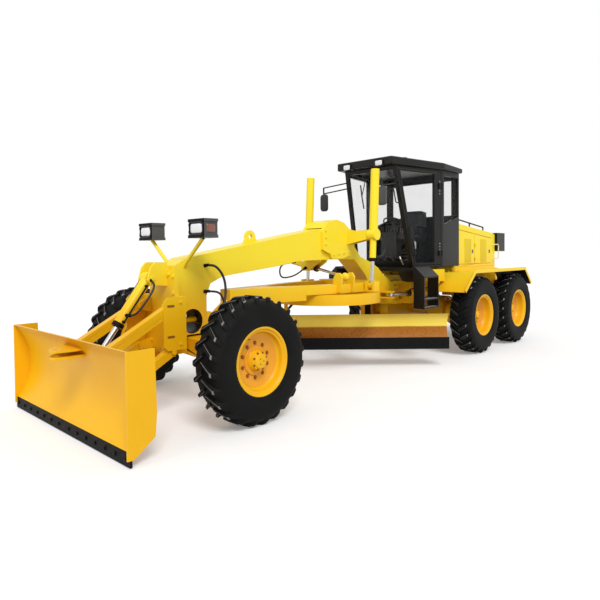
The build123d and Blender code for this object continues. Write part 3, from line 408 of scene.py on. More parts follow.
def soften(piece, width):
    """Bevel on the sharp edges, and smooth shading between them."""
    piece.data.shade_smooth()
    piece.data.set_sharp_from_angle(angle=SHARP)
    bevel = piece.modifiers.new("round_edges", "BEVEL")
    bevel.width = width
    bevel.segments = 2
    bevel.limit_method = "ANGLE"
    bevel.angle_limit = SHARP
    bevel.miter_outer = "MITER_ARC"
    flatten = piece.modifiers.new("flat_faces", "WEIGHTED_NORMAL")
    flatten.keep_sharp = True
    flatten.weight = 80
    return piece


# %% [markdown]
# ## Whole faces from triangles
# The CAD meshes are loose triangles, and a bevel needs whole faces. Flat triangles can be dissolved
# into one face, but a face with a hole would be bridged wrongly. So the flat regions are walked
# first, and only those without a hole are dissolved.


# %% Flat regions
# the angle between triangles below which they are one flat face
FLAT = radians(0.4)


def plain_edges(shape):
    """Inner edges of the flat regions that have no hole: there V - E + F is 1."""
    seen, inner = set(), []
    for start in shape.faces:
        if start in seen:
            continue
        region, stack = [start], [start]
        seen.add(start)
        while stack:
            for edge in stack.pop().edges:
                if len(edge.link_faces) != 2 or edge.calc_face_angle(pi) > FLAT:
                    continue
                for face in edge.link_faces:
                    if face not in seen:
                        seen.add(face)
                        region.append(face)
                        stack.append(face)
        edges = {edge for face in region for edge in face.edges}
        corners = {vertex for face in region for vertex in face.verts}
        if len(corners) - len(edges) + len(region) == 1:
            inside = set(region)
            inner += [edge for edge in edges
                      if len(edge.link_faces) == 2 and inside.issuperset(edge.link_faces)]
    return inner


# %% [markdown]
# ## Dressing every solid
# Each solid is copied, its doubles are merged, its flat triangles dissolved and its edges rounded.
# Castings have wide rounds, sheet and rods narrow ones. The copy stands for the solid, which stays
# hidden for the physics.

# %% Dress a CAD node
node_body = {node: body for body, nodes in frame["record"]["behaviour"]["bodies"].items() for node in nodes}


def dress(node, width, without=None):
    """A merged, bevelled copy of a CAD node in its finish, less the faces that finer pieces replace."""
    shape = bmesh.new()
    shape.from_mesh(frame["nodes"][node].data)
    bmesh.ops.remove_doubles(shape, verts=shape.verts, dist=0.00002)
    if without:
        replaced = [face for face in shape.faces if without(face.calc_center_median())]
        bmesh.ops.delete(shape, geom=replaced, context="FACES")
    bmesh.ops.dissolve_limit(shape, angle_limit=FLAT, verts=[], edges=plain_edges(shape))
    mesh = bpy.data.meshes.new(node + "_skin")
    shape.to_mesh(mesh)
    shape.free()
    mesh.materials.clear()
    slot = record_slots[node]
    piece = show(mesh, node + "_skin", node_body[node], finishes[slot])
    if width:
        soften(piece, width)
    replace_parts(piece, node)
    return piece


def sides(name):
    """The node of that name, or the left and the right one of a pair."""
    return (name,) if name in node_body else (name + "_left", name + "_right")


# bevel width in metres, nodes or pairs
widths = (
    (0.02, "cab_roof"), (0.01, "engine_block"), (0.008, "front_axle rear_axle hood"), (0.007, "front_frame"),
    (0.006, "knuckle saddle headlamps dozer_upper_arms dozer_lower_arms drawbar rear_frame cab_shell"),
    (0.005, "circle blade_carrier"), (0.004, "dozer_blade dozer_edge dozer_barrel moldboard hood_guards"),
    (0.004, "lift_barrel artic_barrel cab_door hood_door_front hood_door_rear"),
    (0.003, "tie_rod cutting_edge shift_barrel fenders steps"),
    (0.002, "dozer_rod shift_rod lift_rod artic_rod"), (0.0, "cab_glass cab_door_glass"),
)
dressed = {node: dress(node, width)
           for width, names in widths for name in names.split() for node in sides(name)}
print("dressed", len(dressed))

# %% [markdown]
# ## Surfaces from arrays
# The fine pieces are surfaces worked out with numpy. A shape is a grid of points, rows by columns,
# and one function turns such grids into a mesh of four-sided faces. Another makes that mesh a piece
# on its body, in its finish.


# %% Meshes from grids
def grid_faces(rows, columns, closed, first):
    """Four corners of each face between neighbouring grid points; rows are rings, and may close too."""
    i, j = np.meshgrid(np.arange(rows - (not closed)), np.arange(columns), indexing="ij")
    here, below, beside = i * columns, (i + 1) % rows * columns, (j + 1) % columns
    return np.stack([here + j, here + beside, below + beside, below + j], -1).reshape(-1, 4) + first


def mesh_of(name, grids, closed):
    """One mesh from many grids (rows, columns, 3); poles and seams are merged."""
    points, faces, first = [], [], 0
    for grid in grids:
        rows, columns = grid.shape[:2]
        faces.append(grid_faces(rows, columns, closed, first))
        points.append(grid.reshape(-1, 3))
        first += rows * columns
    mesh = bpy.data.meshes.new(name)
    mesh.from_pydata(np.concatenate(points).tolist(), [], np.concatenate(faces).tolist())
    shape = bmesh.new()
    shape.from_mesh(mesh)
    bmesh.ops.remove_doubles(shape, verts=shape.verts, dist=0.00001)
    bmesh.ops.recalc_face_normals(shape, faces=shape.faces)
    shape.to_mesh(mesh)
    shape.free()
    return mesh


def fit(name, body, material, grids, sharp=35, closed=False):
    """One piece from many grids, on its body and in its finish, smooth below an angle in degrees."""
    mesh = mesh_of(name, grids, closed)
    piece = show(mesh, name, body, material)
    mesh.shade_smooth()
    mesh.set_sharp_from_angle(angle=radians(sharp))
    return piece


# %% [markdown]
# ## Wheels and the faces on them
# A wheel is a profile turned about its axle, so one function gives points round that line, and the
# middle of each wheel comes from its tyre's box. Painted highlights on the lugs' edges and painted
# shade in the rims' dishes are faces picked by where they are and given a second finish.


# %% Turned profiles and picked faces
def wheels(place):
    """Of each of two wheels: tyre, rim, middle, +1 on the left or -1 on the right, half the tyre's size."""
    for tyre, rim in zip(sides(place + "_tyre"), sides(place + "_rim")):
        low, high = (np.array(corner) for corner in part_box(tyre))
        middle = (low + high) / 2
        yield tyre, rim, middle, float(np.sign(middle[1])), (high - low) / 2


def about_axle(centre, angle, along, radius):
    """Points round a line through centre along Y: x = radius cos angle, z = radius sin angle."""
    x, z = centre[0] + radius * np.cos(angle), centre[2] + radius * np.sin(angle)
    return np.stack([x, centre[1] + along + 0 * x, z], -1)


def turned(profile, centre, steps, side=1):
    """Profile (along, radius) turned about the axle."""
    along, radius = np.array(profile, float).T[:, :, None]
    return about_axle(centre, np.arange(steps) * tau / steps, side * along, radius)


def face_facts(mesh, fact):
    """The center or the normal of every face, one row each."""
    values = np.empty(len(mesh.polygons) * 3)
    mesh.polygons.foreach_get(fact, values)
    return values.reshape(-1, 3)


def paint_faces(mesh, material, picked):
    """Gives the picked faces a second finish."""
    index = np.empty(len(mesh.polygons), np.int32)
    mesh.polygons.foreach_get("material_index", index)
    if material.name not in mesh.materials:
        mesh.materials.append(material)
    index[picked] = mesh.materials.find(material.name)
    mesh.polygons.foreach_set("material_index", index)


# %% [markdown]
# ## Tyres
# The body of a grader's tyre is a fat rubber carcass. It is a profile turned about the axle: the
# crown is half of a squared-off ellipse and each sidewall a quarter ellipse, with one raised ring.


# %% Carcass of a tyre
# radius of the wall's widest ring, half width and radius at the bead, power that squares the crown
WAIST, BEAD, BEAD_RADIUS, SQUARENESS = 0.505, 0.158, 0.355, 3.1
# radius, height and half width of the raised ring
RING, RING_HEIGHT, RING_HALF = 0.41, 0.003, 0.008


def carcass_profile(half, crown):
    """Across and radius: bead, quarter-ellipse wall, squared-off half ellipse over the crown."""
    wall = np.linspace(0, pi / 2, 14)
    wall_y = BEAD + (half - BEAD) * np.sin(wall) ** 0.8
    wall_r = WAIST - (WAIST - BEAD_RADIUS) * np.cos(wall)
    wall_y = wall_y + RING_HEIGHT * np.exp(-(((wall_r - RING) / RING_HALF) ** 2))
    over = np.linspace(0, pi, 45)[1:-1]
    power = 2 / SQUARENESS
    over_y = half * np.sign(np.cos(over)) * np.abs(np.cos(over)) ** power
    over_r = WAIST + (crown - WAIST) * np.sin(over) ** power
    right = np.column_stack([wall_y, wall_r])
    left = right[::-1] * (-1, 1)
    inner = np.array([(-BEAD, 0.335), (BEAD, 0.335)])
    return np.vstack([right, np.column_stack([over_y, over_r]), left, inner, right[:1]])


# %% [markdown]
# ## Lugs
# Slanted lugs that alternate left and right let the tyre grip in loose soil. A lug is a bar whose
# base lies just inside the carcass and whose top follows the tip line, so one small grid is worked
# out once and copied round by turning. Its top edges are pale grey as a painted highlight.


# %% Lugs and tyres
# lugs on each side of a tyre, their height, how deep their foot lies in the carcass
LUGS_A_SIDE, LUG_HEIGHT, FOOT = 24, 0.032, 0.006
# share of the half width at which a lug's top starts to slope down, and its slope
SHOULDER, FALL = 0.68, 1.25


def lug_grid(half, crown, tip, lean):
    """One lug from the middle of the tread over the shoulder: rows along it, columns round it."""
    s = np.linspace(0, 1, 15)
    across = (half - FOOT) * s - FOOT
    turn = lean * (s - 0.43)
    width = 0.022 + 0.008 * s
    squared = 1 - np.clip(across / half, 0, 0.9995) ** SQUARENESS
    base = WAIST + (crown - WAIST) * squared ** (1 / SQUARENESS) - FOOT
    top = tip - np.clip(across - half * SHOULDER, 0, None) * FALL
    top = np.maximum(np.where(s > 0.93, base + 0.004, top), base + 0.002)
    spread = np.array([-1.15, -1.0, -0.72, -0.6, 0.6, 0.72, 1.0, 1.15])
    rise = np.array([0.0, 0.35, 0.93, 1.0, 1.0, 0.93, 0.35, 0.0])
    radius = base[:, None] + (top - base)[:, None] * rise
    angle = turn[:, None] + width[:, None] * spread / radius
    lug = np.stack([angle, across[:, None] + 0 * angle, radius], -1)
    start, finish = lug[:1].copy(), lug[-1:].copy()
    start[..., 2] = base[0]
    finish[..., 2] = base[-1]
    return np.concatenate([start, lug, finish])


def tread(half, crown, tip, lean, centre, side):
    """Every lug of a tyre: both sides, the inner side half a step on, turned about the axle."""
    angle, across, radius = np.moveaxis(lug_grid(half, crown, tip, lean), -1, 0)
    return [about_axle(centre, angle + turn, mirror * across, radius)
            for mirror, offset in ((side, 0), (-side, 0.5))
            for turn in (np.arange(LUGS_A_SIDE) + offset) * tau / LUGS_A_SIDE]


def paint_lug_edge_highlight(mesh, centre, crown):
    """The slanting faces along a lug's top edges, picked by radius and slant, in pale grey: a painted
    highlight.
    """
    arm = face_facts(mesh, "center") - centre
    arm[:, 1] = 0
    radius = np.linalg.norm(arm, axis=1)
    slant = (face_facts(mesh, "normal") * arm).sum(1) / radius
    paint_faces(mesh, lug_edge_highlight, (radius > crown + 0.012) & (slant > 0.45) & (slant < 0.95))


for place, lean in (("front", -0.2), ("middle", 0.2), ("rear", 0.2)):
    for node, _, middle, side, (tip, half, _) in wheels(place):
        crown, body = tip - LUG_HEIGHT, node_body[node]
        carcass = [turned(carcass_profile(half, crown), middle, 112)]
        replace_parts(fit(node + "_carcass", body, rubber, carcass, sharp=180), node)
        lugs = fit(node + "_lugs", body, rubber, tread(half, crown, tip - 0.001, lean, middle, side))
        # painted highlight along the lugs' top edges
        paint_lug_edge_highlight(lugs.data, middle, crown)
print("tyre tip radius", round(tip, 3), "half width", round(half, 3))

# %% [markdown]
# ## Rims
# The rims are pressed and welded steel in body colour: a barrel with a lip that holds the tyre, a
# dished disc and a hub. All of it is round, so one closed profile is turned about the axle.

# %% Rims
# along the axle and radius: the outer lip and the barrel, then the disc and hub, then the bead seat
lips = [(0.166, 0.336), (0.172, 0.344), (0.174, 0.356), (0.17, 0.362), (0.16, 0.362), (0.158, 0.33),
        (-0.158, 0.33), (-0.158, 0.362), (-0.172, 0.362), (-0.172, 0.316)]
front_disc = [
    (0.02, 0.314), (0.02, 0.21), (0.01, 0.2), (0.01, 0.12), (-0.02, 0.12), (-0.02, 0.0), (0.15, 0.0),
    (0.15, 0.06), (0.147, 0.072), (0.138, 0.08), (0.13, 0.083), (0.128, 0.094), (0.12, 0.1),
    (0.072, 0.112), (0.066, 0.118), (0.064, 0.15), (0.056, 0.158), (0.048, 0.16), (0.046, 0.205),
    (0.05, 0.222), (0.062, 0.25), (0.082, 0.282), (0.1, 0.298), (0.12, 0.304),
]
rear_disc = [
    (-0.06, 0.314), (-0.05, 0.21), (-0.05, 0.2), (-0.05, 0.12), (-0.08, 0.12), (-0.08, 0.0), (0.06, 0.0),
    (0.06, 0.05), (0.055, 0.06), (0.04, 0.065), (0.038, 0.09), (0.032, 0.097), (-0.005, 0.105),
    (-0.012, 0.11), (-0.014, 0.15), (-0.022, 0.155), (-0.028, 0.16), (-0.03, 0.205), (-0.024, 0.222),
    (-0.005, 0.25), (0.03, 0.282), (0.06, 0.298), (0.1, 0.304),
]
bead_seat = [(0.142, 0.307), (0.147, 0.31), (0.149, 0.316), (0.149, 0.322), (0.151, 0.326), (0.16, 0.33)]
# place, disc and hub, how far out the painted shade in the dish reaches; its radius
rims = (("front", front_disc, 0.075), ("middle", rear_disc, 0.03), ("rear", rear_disc, 0.03))
dish_radius = 0.275
for place, disc, dish_out in rims:
    for _, node, middle, side, _ in wheels(place):
        grid = turned(lips + disc + bead_seat, middle, 96, side)
        rim = fit(node + "_disc", node_body[node], yellow, [grid], sharp=40, closed=True)
        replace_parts(rim, node)
        arm = face_facts(rim.data, "center") - middle
        dish = (np.hypot(arm[:, 0], arm[:, 2]) < dish_radius) & (side * arm[:, 1] < dish_out)
        # painted shade in the dish
        paint_faces(rim.data, rim_dish_shade, dish)
print("rim rings", len(lips + rear_disc + bead_seat))

# %% [markdown]
# ## Small shapes
# A section carried along a path gives plates, bars, slats and pipes. Sizes from here on are in metres
# from the middle of the front axle on the ground, the point that a grader's drawing is measured from.

# %% Sections along a path
axle_x = float(next(wheels("front"))[2][0])


def at(*rows):
    """Points measured from the front axle's middle, moved into the frame."""
    return np.array(rows, float).reshape(-1, 3) + (axle_x, 0, 0)


def spot(x, y, z):
    """One such point."""
    return at((x, y, z))[0]


def unit(vector):
    """The same direction with length 1."""
    vector = np.asarray(vector, float)
    return vector / np.linalg.norm(vector, axis=-1, keepdims=True)


def around(t):
    """Points (cos t, sin t) of the unit circle."""
    return np.column_stack([np.cos(t), np.sin(t)])


def rounded(width, height, corner):
    """Section: four quarter circles about the corner centres of a rectangle."""
    t = (np.arange(4)[:, None] * pi / 2 + np.linspace(0, pi / 2, 4)).ravel()
    middle = np.repeat(np.arange(4) * pi / 2 + pi / 4, 4)
    half = (width / 2 - corner, height / 2 - corner)
    return np.sign(around(middle)) * half + corner * around(t)


def swept(section, path, up=(0, 0, 1)):
    """Section (across, up) at each path point, square to the path; the ends close to a point."""
    path = np.asarray(path, float)
    run = unit(np.gradient(path, axis=0))
    across = unit(np.cross(run, up))
    rise = np.cross(across, run)
    rings = path[:, None] + section[:, :1] * across[:, None] + section[:, 1:] * rise[:, None]
    ends = [np.repeat(path[i][None, None], len(section), 1) for i in (0, -1)]
    return np.concatenate([ends[0], rings, ends[1]])


def pipe(radius, path, up=(0, 0, 1), count=12):
    """Round section radius (cos t, sin t) carried along a path."""
    return swept(radius * around(np.arange(count) * tau / count), path, up)


def plate(low, high, corner):
    """Plate between two corner points: a rounded section carried along x."""
    low, high = at(low, high)
    middle, size = (low + high) / 2, high - low
    ends = np.array([middle, middle])
    ends[:, 0] = low[0], high[0]
    return swept(rounded(size[1], size[2], min(corner, size[1] / 2.1, size[2] / 2.1)), ends)


def flipped(grids):
    """The same grids on the right side: y changes its sign."""
    return [grid * (1, -1, 1) for grid in grids]


def both_sides(grids):
    """Grids of the left side and their mirror images."""
    return grids + flipped(grids)


print("front axle at x", axle_x)

# %% [markdown]
# ## Turned and domed pieces
# A profile turned about any line gives bolts, knobs and collars. A stack of shrinking rounded
# rectangles gives what is moulded: lenses, pedals, latches and mirror heads.


# %% Spun profiles, bolts and domes
def spun(profile, centre, axis, count):
    """Profile (along, radius) turned about axis: centre + along * axis + radius (cos t u + sin t v)."""
    axis = unit(axis)
    u = unit(np.cross(axis, (0.3, 0.5, 0.81)))
    v = np.cross(axis, u)
    along, radius = np.array(profile, float).T
    t = np.arange(count) * tau / count
    ring = np.cos(t)[:, None] * u + np.sin(t)[:, None] * v
    return np.asarray(centre, float) + along[:, None, None] * axis + radius[:, None, None] * ring


def dome(centre, facing, width, height, depth, corner, back=0.0):
    """Rounded rectangles that shrink by cos a and rise by sin a: a crowned pad, flat behind."""
    facing, a = unit(facing), np.linspace(0, pi / 2, 8)
    across = unit(np.cross((0, 0, 1), facing))
    rise = np.cross(facing, across)
    section = rounded(width, height, corner)
    shrink = np.concatenate([[0, 1], np.cos(a) ** 0.5])
    lift = np.concatenate([[-back, -back], depth * np.sin(a)])
    flat = section[:, :1] * across + section[:, 1:] * rise
    return np.asarray(centre, float) + shrink[:, None, None] * flat + lift[:, None, None] * facing


def bolts(spots, facing, radius, height):
    """At each spot a thin washer below a six-sided head with a chamfer."""
    washer = [(-0.004, 0), (-0.004, radius * 1.45), (0.003, radius * 1.45), (0.003, 0)]
    head = [(0, 0), (0, radius), (height * 0.8, radius), (height, radius * 0.82), (height, 0)]
    return [spun(profile, centre, facing, count)
            for centre in spots for profile, count in ((washer, 16), (head, 6))]


# %% [markdown]
# ## Two finishes on one casting
# Some solids wear more than one finish: lamp posts are body colour below a grey housing, and the
# inside of a fender is painted black as painted shade. The faces are picked by where they are and which way
# they face.


# %% Second finishes
def tint(piece, material, low, high, facing=None, least=0.5):
    """Gives the faces inside a box, and facing a way if one is named, another finish."""
    centre = face_facts(piece.data, "center")
    low, high = at(low, high)
    inside = ((centre > low) & (centre < high)).all(1)
    if facing:
        inside &= face_facts(piece.data, "normal") @ np.array(facing, float) > least
    paint_faces(piece.data, material, inside)
    print(piece.name, material.name, "faces", int(inside.sum()))


# metres, behind any part of the machine
FAR = 9.0
tint(dressed["headlamps"], lamp_grey, (-1, -2, 1.95), (1, 2, 2.3))
tint(dressed["headlamps"], yellow, (-1, -2, 1), (1, 2, 1.95))
tint(dressed["headlamps"], edge_black, (-1, -2, 1.95), (1, 2, 2.3), (1, 0, 0), 0.7)
# painted shade: the fenders' downward faces are black, as if in shade
tint(dressed["fenders"], black, (-FAR, -2, 0), (0, 2, 3), (0, 0, -1), 0.3)
# the whole moldboard takes the paler blade paint: painted light above, painted shade on its low half
tint(dressed["moldboard"], blade_yellow, (-FAR, -3, 0), (0, 3, 3))
for side in sides("lift_rod"):
    tint(dressed[side], yellow, (-FAR, -2, 0), (0, 2, 1.345))
tint(dressed["shift_rod"], yellow, (-FAR, 0.46, 1), (0, 0.7, 2))
tint(dressed["dozer_rod"], yellow, (1.16, -1, 0), (2, 1, 0.70))

# %% [markdown]
# ## Wheel bolts
# A ring of nuts holds each rim to its hub, and small bolts hold the hub's cover. They are one hexagon
# turned about the axle, ten times for the rim and eight for the cover, and three times more for the
# cap of a front hub.

# %% Wheel bolts
# depth of the disc from the tyre's middle, radius of the ring, nuts, size
rear_rings = ((-0.03, 0.182, 10, 0.015), (0.037, 0.078, 8, 0.009))
front_rings = ((0.046, 0.182, 10, 0.015), (0.127, 0.089, 8, 0.009), (0.146, 0.03, 3, 0.007))
valve_profile = [(0, 0), (0, 0.008), (0.045, 0.006), (0.05, 0)]
# place, rings, depth of the valve; its radius
valves = (("front", front_rings, 0.1), ("middle", rear_rings, 0.06), ("rear", rear_rings, 0.06))
valve_radius = 0.29
for place, rings, valve_depth in valves:
    for _, node, middle, side, _ in wheels(place):
        valve = about_axle(middle, 1, side * valve_depth, valve_radius)
        grids = []
        for depth, radius, count, size in rings:
            spots = about_axle(middle, (np.arange(count) + 0.5) * tau / count, side * depth, radius)
            grids += bolts(spots, (0, side, 0), size, size * 1.1)
        grids.append(spun(valve_profile, valve, (0, side, 0), 10))
        fit(node + "_bolts", node_body[node], bolt_brown, grids)
print("bolt rings", len(front_rings) + 2 * len(rear_rings), "a side")

# %% [markdown]
# ## Lamps
# The two head lamps stand in grey housings with a clear lens ahead and a smoked amber one on the
# outer side. Small round-cornered work lamps sit under the roof's brow, and a beacon stands on the
# roof. A lens is a shallow dome, so it catches one soft highlight as moulded plastic does.

# %% Lamps
# the head lamps' front, middle of their length, outer side, height, and middle of their width
lamp_front, lamp_middle, lamp_out, lamp_z, lamp_y = 0.238, 0.144, 0.663, 2.07, 0.52
front_lens = [dome(spot(lamp_front - 0.002, y, lamp_z), (1, 0, 0), 0.206, 0.106, 0.018, 0.03)
              for y in (lamp_y, -lamp_y)]
fit("headlamp_lenses", "front_frame", clear_lens, front_lens)
side_lens = [dome(spot(lamp_middle, lamp_out - 0.012, lamp_z), (0, 1, 0), 0.13, 0.1, 0.022, 0.02)]
fit("indicator_lenses", "front_frame", smoked_lens, both_sides(side_lens))
ring = at(*((lamp_front, lamp_y + a, lamp_z + b) for a, b in rounded(0.246, 0.134, 0.03)))
bezel = [swept(rounded(0.028, 0.014, 0.005), np.vstack([ring, ring[:2]]))]
fit("headlamp_bezels", "front_frame", plastic, both_sides(bezel))
roof_lens = [dome(spot(-3.572, 0.32, 3.235), (1, 0, -0.15), 0.128, 0.08, 0.016, 0.02)]
fit("roof_lamp_lenses", "rear_frame", clear_lens, both_sides(roof_lens))
# height above its foot, radius
beacon = [(0, 0), (0, 0.059), (0.03, 0.062), (0.09, 0.058), (0.118, 0.046), (0.134, 0.024), (0.139, 0)]
fit("beacon_lens", "rear_frame", amber_lens, [spun(beacon, spot(-4.87, 0, 3.381), (0, 0, 1), 32)])
print("beacon foot", spot(-4.87, 0, 3.381))

# %% [markdown]
# ## Hood doors
# Each door breathes through a field of upright slats. On the real sheet they are pressed, and here
# they are slim rounded bars before a black sheet, painted shade for the gaps, because that reads the
# same from a step away. The latch is a square plate with a paddle.

# %% Louvres and latches
# outer face of the doors, foot and head of the fields, half a slat's width
hood_out, field_low, field_high, slat_half = 0.64, 1.585, 2.03, 0.012
halves = (("left", list), ("right", flipped))
# door, rear and front x of its field, latch x
for door, rear_x, front_x, latch_x in (("front", -6.22, -5.95, -6.28), ("rear", -6.9, -6.63, -7.04)):
    slat_x = np.linspace(rear_x + slat_half, front_x - slat_half, 7)
    back = plate((rear_x, hood_out - 0.004, field_low), (front_x, hood_out + 0.002, field_high), 0.002)
    slats = [plate((x - slat_half, hood_out - 0.002, field_low - 0.004),
                   (x + slat_half, hood_out + 0.009, field_high + 0.004), 0.004) for x in slat_x]
    latch = [dome(spot(latch_x, hood_out - 0.001, 1.79), (0, 1, 0), 0.06, 0.075, 0.006, 0.012),
             dome(spot(latch_x, hood_out + 0.004, 1.8), (0, 1, 0), 0.03, 0.045, 0.008, 0.008)]
    for side, place in halves:
        body = "hood_door_" + door + "_" + side
        # painted shade: a black sheet behind the slats stands for the shade in their gaps
        fit(body + "_mesh", body, black, place([back]))
        fit(body + "_louvres", body, yellow, place(slats))
        fit(body + "_latch", body, grey_iron, place(latch))
print("slats a door", len(slats))

# %% [markdown]
# ## Rear end
# The engine's air leaves through a grille of slim upright bars on three rails. Beside it stand blocks
# of three lamps, red over amber over clear, and a cream grab handle is bent from one pipe.

# %% Grille, rear lamps and grab handles
# the rear grille's plane, half a bar's and half a rail's width, the three rails
grille_x, bar_half, rail_half = -7.47, 0.008, 0.012
low, middle, high = 1.56, 1.81, 2.06
bars = [plate((grille_x - 0.012, y - bar_half, low), (grille_x + 0.002, y + bar_half, high), 0.004)
        for y in np.linspace(-0.49, 0.49, 25)]
bars += [plate((grille_x - 0.014, -0.5, z - rail_half), (grille_x + 0.002, 0.5, z + rail_half), 0.004)
         for z in (low, middle, high)]
fit("rear_grille", "rear_frame", grey_iron, bars)
rear_lamps = (("red", red_lens, 2.09), ("amber", amber_lens, 1.98), ("clear", clear_lens, 1.87))
for colour, material, z in rear_lamps:
    rear_lens = [dome(spot(-7.687, 0.58, z), (-1, 0, 0), 0.15, 0.09, 0.01, 0.02)]
    fit("rear_lamps_" + colour, "rear_frame", material, both_sides(rear_lens))
loop = at((-7.19, 0.63, 1.93), (-7.21, 0.695, 1.93), (-7.31, 0.705, 1.93), (-7.335, 0.705, 1.905),
          (-7.335, 0.705, 1.665), (-7.31, 0.705, 1.64), (-7.21, 0.695, 1.64), (-7.19, 0.63, 1.64))
fit("rear_grab_handles", "rear_frame", cream, both_sides([pipe(0.011, loop, (0, 1, 0))]))
print("grille bars", len(bars))

# %% [markdown]
# ## Bolt heads
# Bolts show where plates are joined: round the nose bracket, along both cutting edges, on the
# saddle's cheeks and on the fenders. Each row of the table is a line of bolts on one body, given for
# the left side. The blade stands turned, so its edge's bolts and the circle's two braces are drawn
# square to the machine and then turned with it.

# %% Bolts along lines
blade_turn, circle_x = radians(45), -2.62
blade_facing = (cos(blade_turn), sin(blade_turn), 0)
forward, outward, upward = (1, 0, 0), (0, 1, 0), (0, 0, 1)


def on_blade(*points):
    """Points drawn square to the machine about the circle's centre, turned with the blade."""
    x, y, z = np.array(points, float).T
    c, s = cos(blade_turn), sin(blade_turn)
    return at(*np.column_stack([circle_x + x * c - y * s, x * s + y * c, z]))


# name, body, radius, facing, count, first point, last point
bolt_lines = (
    ("nose_side_bolts", "front_frame", 0.02, forward, 5, (0.35, 0.225, 0.78), (0.35, 0.225, 1.54)),
    ("nose_top_bolts", "front_frame", 0.02, forward, 2, (0.35, 0.06, 1.56), (0.35, 0.14, 1.56)),
    ("nose_plate_bolts", "front_frame", 0.016, outward, 2, (0.375, 0.398, 0.8), (0.375, 0.398, 1.26)),
    ("saddle_low_bolts", "front_frame", 0.018, outward, 4, (-2.54, 0.21, 1.76), (-2.92, 0.21, 1.8)),
    ("saddle_rear_bolts", "front_frame", 0.018, outward, 3, (-2.36, 0.21, 1.92), (-2.36, 0.21, 2.12)),
    ("dozer_edge_bolts", "dozer_blade", 0.016, forward, 7, (1.533, 0.12, 0.07), (1.533, 1.24, 0.07)),
    ("fender_bolts", "rear_frame", 0.012, upward, 6, (-5.2, 0.69, 1.435), (-7.1, 0.69, 1.435)),
)
for name, body, radius, facing, count, first, last in bolt_lines:
    first, last = at(first, last)
    spots = first + (last - first) * np.linspace(0, 1, count)[:, None]
    grids = both_sides(bolts(spots, facing, radius, radius * 0.8))
    fit(name, body, edge_black if "edge" in name else yellow, grids)
edge_line = on_blade(*((0.02, y, 0.38) for y in np.linspace(-1.8, 1.8, 15)))
fit("cutting_edge_bolts", "moldboard", edge_black, bolts(edge_line, blade_facing, 0.015, 0.01))
braces = [pipe(0.02, on_blade((-0.5, y, 1.05), (-0.405, y * 0.612 / 0.43, 0.85))) for y in (0.43, -0.43)]
fit("circle_braces", "circle", black, braces)
print("lines of bolts", len(bolt_lines) + 1)

# %% [markdown]
# ## Cylinder fittings
# A cylinder ends in a gland, a slightly wider collar round the rod, and its oil comes through ports
# that a thin steel pipe joins along the barrel. Both are worked out from the cylinder's two pins.

# %% Glands, ports and pipes
# barrel or the left one of a pair, base pin, eye, barrel radius, barrel past the base pin, pipe's side
pins = (
    ("lift_barrel", (-2.95, 0.64, 2.055), (-2.905, 0.64, 1.29), 0.048, 0.395, (-1, 0, 0)),
    ("shift_barrel", (-2.4, -0.17, 1.59), (-2.4, 0.53, 1.44), 0.045, 0.19, None),
    ("artic_barrel", (-5.1, 0.5, 1.08), (-3.9, 0.33, 1.08), 0.048, 0.78, (0, 0, 1)),
    ("dozer_barrel", (0.533, 0, 1.524), (1.23, 0, 0.62), 0.062, 0.65, (0, 1, 0)),
)


def gland(radius):
    """Along and radius: a collar over the barrel's mouth, with a wiper lip round the rod."""
    return [(-0.045, radius - 0.004), (-0.045, radius + 0.006), (-0.004, radius + 0.006),
            (0, radius + 0.003), (0, radius * 0.72), (0.006, radius * 0.7), (0.006, radius * 0.62),
            (-0.045, radius * 0.62), (-0.045, radius - 0.004)]


def oil_pipe(start, end, run, out, radius):
    """Two six-sided ports on a barrel and the pipe between them."""
    port = [(0, 0), (0, 0.017), (0.03, 0.017), (0.034, 0.012), (0.034, 0)]
    low, high = out * (radius + 0.02), out * (radius + 0.024)
    path = [start + low, start + high + run * 0.02, end + high - run * 0.02, end + low]
    return [spun(port, place + out * (radius - 0.006), out, 6) for place in (start, end)] + [
        pipe(0.009, path, np.cross(run, out))]


for name, base, eye, radius, ahead, beside in pins:
    for node, mirror in zip(sides(name), (1, -1)):
        base_pin, eye_pin = at(base, eye) * (1, mirror, 1)
        run = unit(eye_pin - base_pin)
        mouth = base_pin + run * ahead
        collar = [spun(gland(radius), mouth, run, 32)]
        fit(node + "_gland", node_body[node], edge_black, collar)
        if beside:
            grids = oil_pipe(base_pin + run * 0.11, mouth - run * 0.07, run, unit(beside), radius)
            fit(node + "_pipe", node_body[node], edge_black, grids)
print("cylinders", [row[0] for row in pins])

# %% [markdown]
# ## Hoses
# Rubber hoses bring the oil to the cylinders. Each is fixed at both ends and hangs in its own stiff
# curve between them. A NURBS curve with a few points is the natural tool: the points pull the line
# into one smooth bend, and the bevel gives it its thickness. A crimped fitting closes each end.


# %% Hoses
# along and radius of a crimped fitting
crimp = [(-0.02, 0), (-0.02, 0.022), (0.004, 0.022), (0.006, 0.019), (0.05, 0.019),
         (0.054, 0.0155), (0.054, 0)]


def hose(name, body, length, diameter, *points):
    """A hose between two fittings of one body, and its curve; the length argument is not used."""
    points = at(*points)
    curve = bpy.data.curves.new(name, "CURVE")
    curve.dimensions = "3D"
    spline = curve.splines.new("NURBS")
    spline.points.add(len(points) - 1)
    spline.points.foreach_set("co", np.column_stack([points, np.ones(len(points))]).ravel())
    spline.order_u = 3
    spline.use_endpoint_u = True
    curve.bevel_depth = diameter / 2
    curve.bevel_resolution = 4
    piece = show(curve, name, body, hose_rubber)
    ends = [spun(crimp, points[i], points[j] - points[i], 12) for i, j in ((0, 1), (-1, -2))]
    fit(name + "_fittings", body, edge_black, ends)


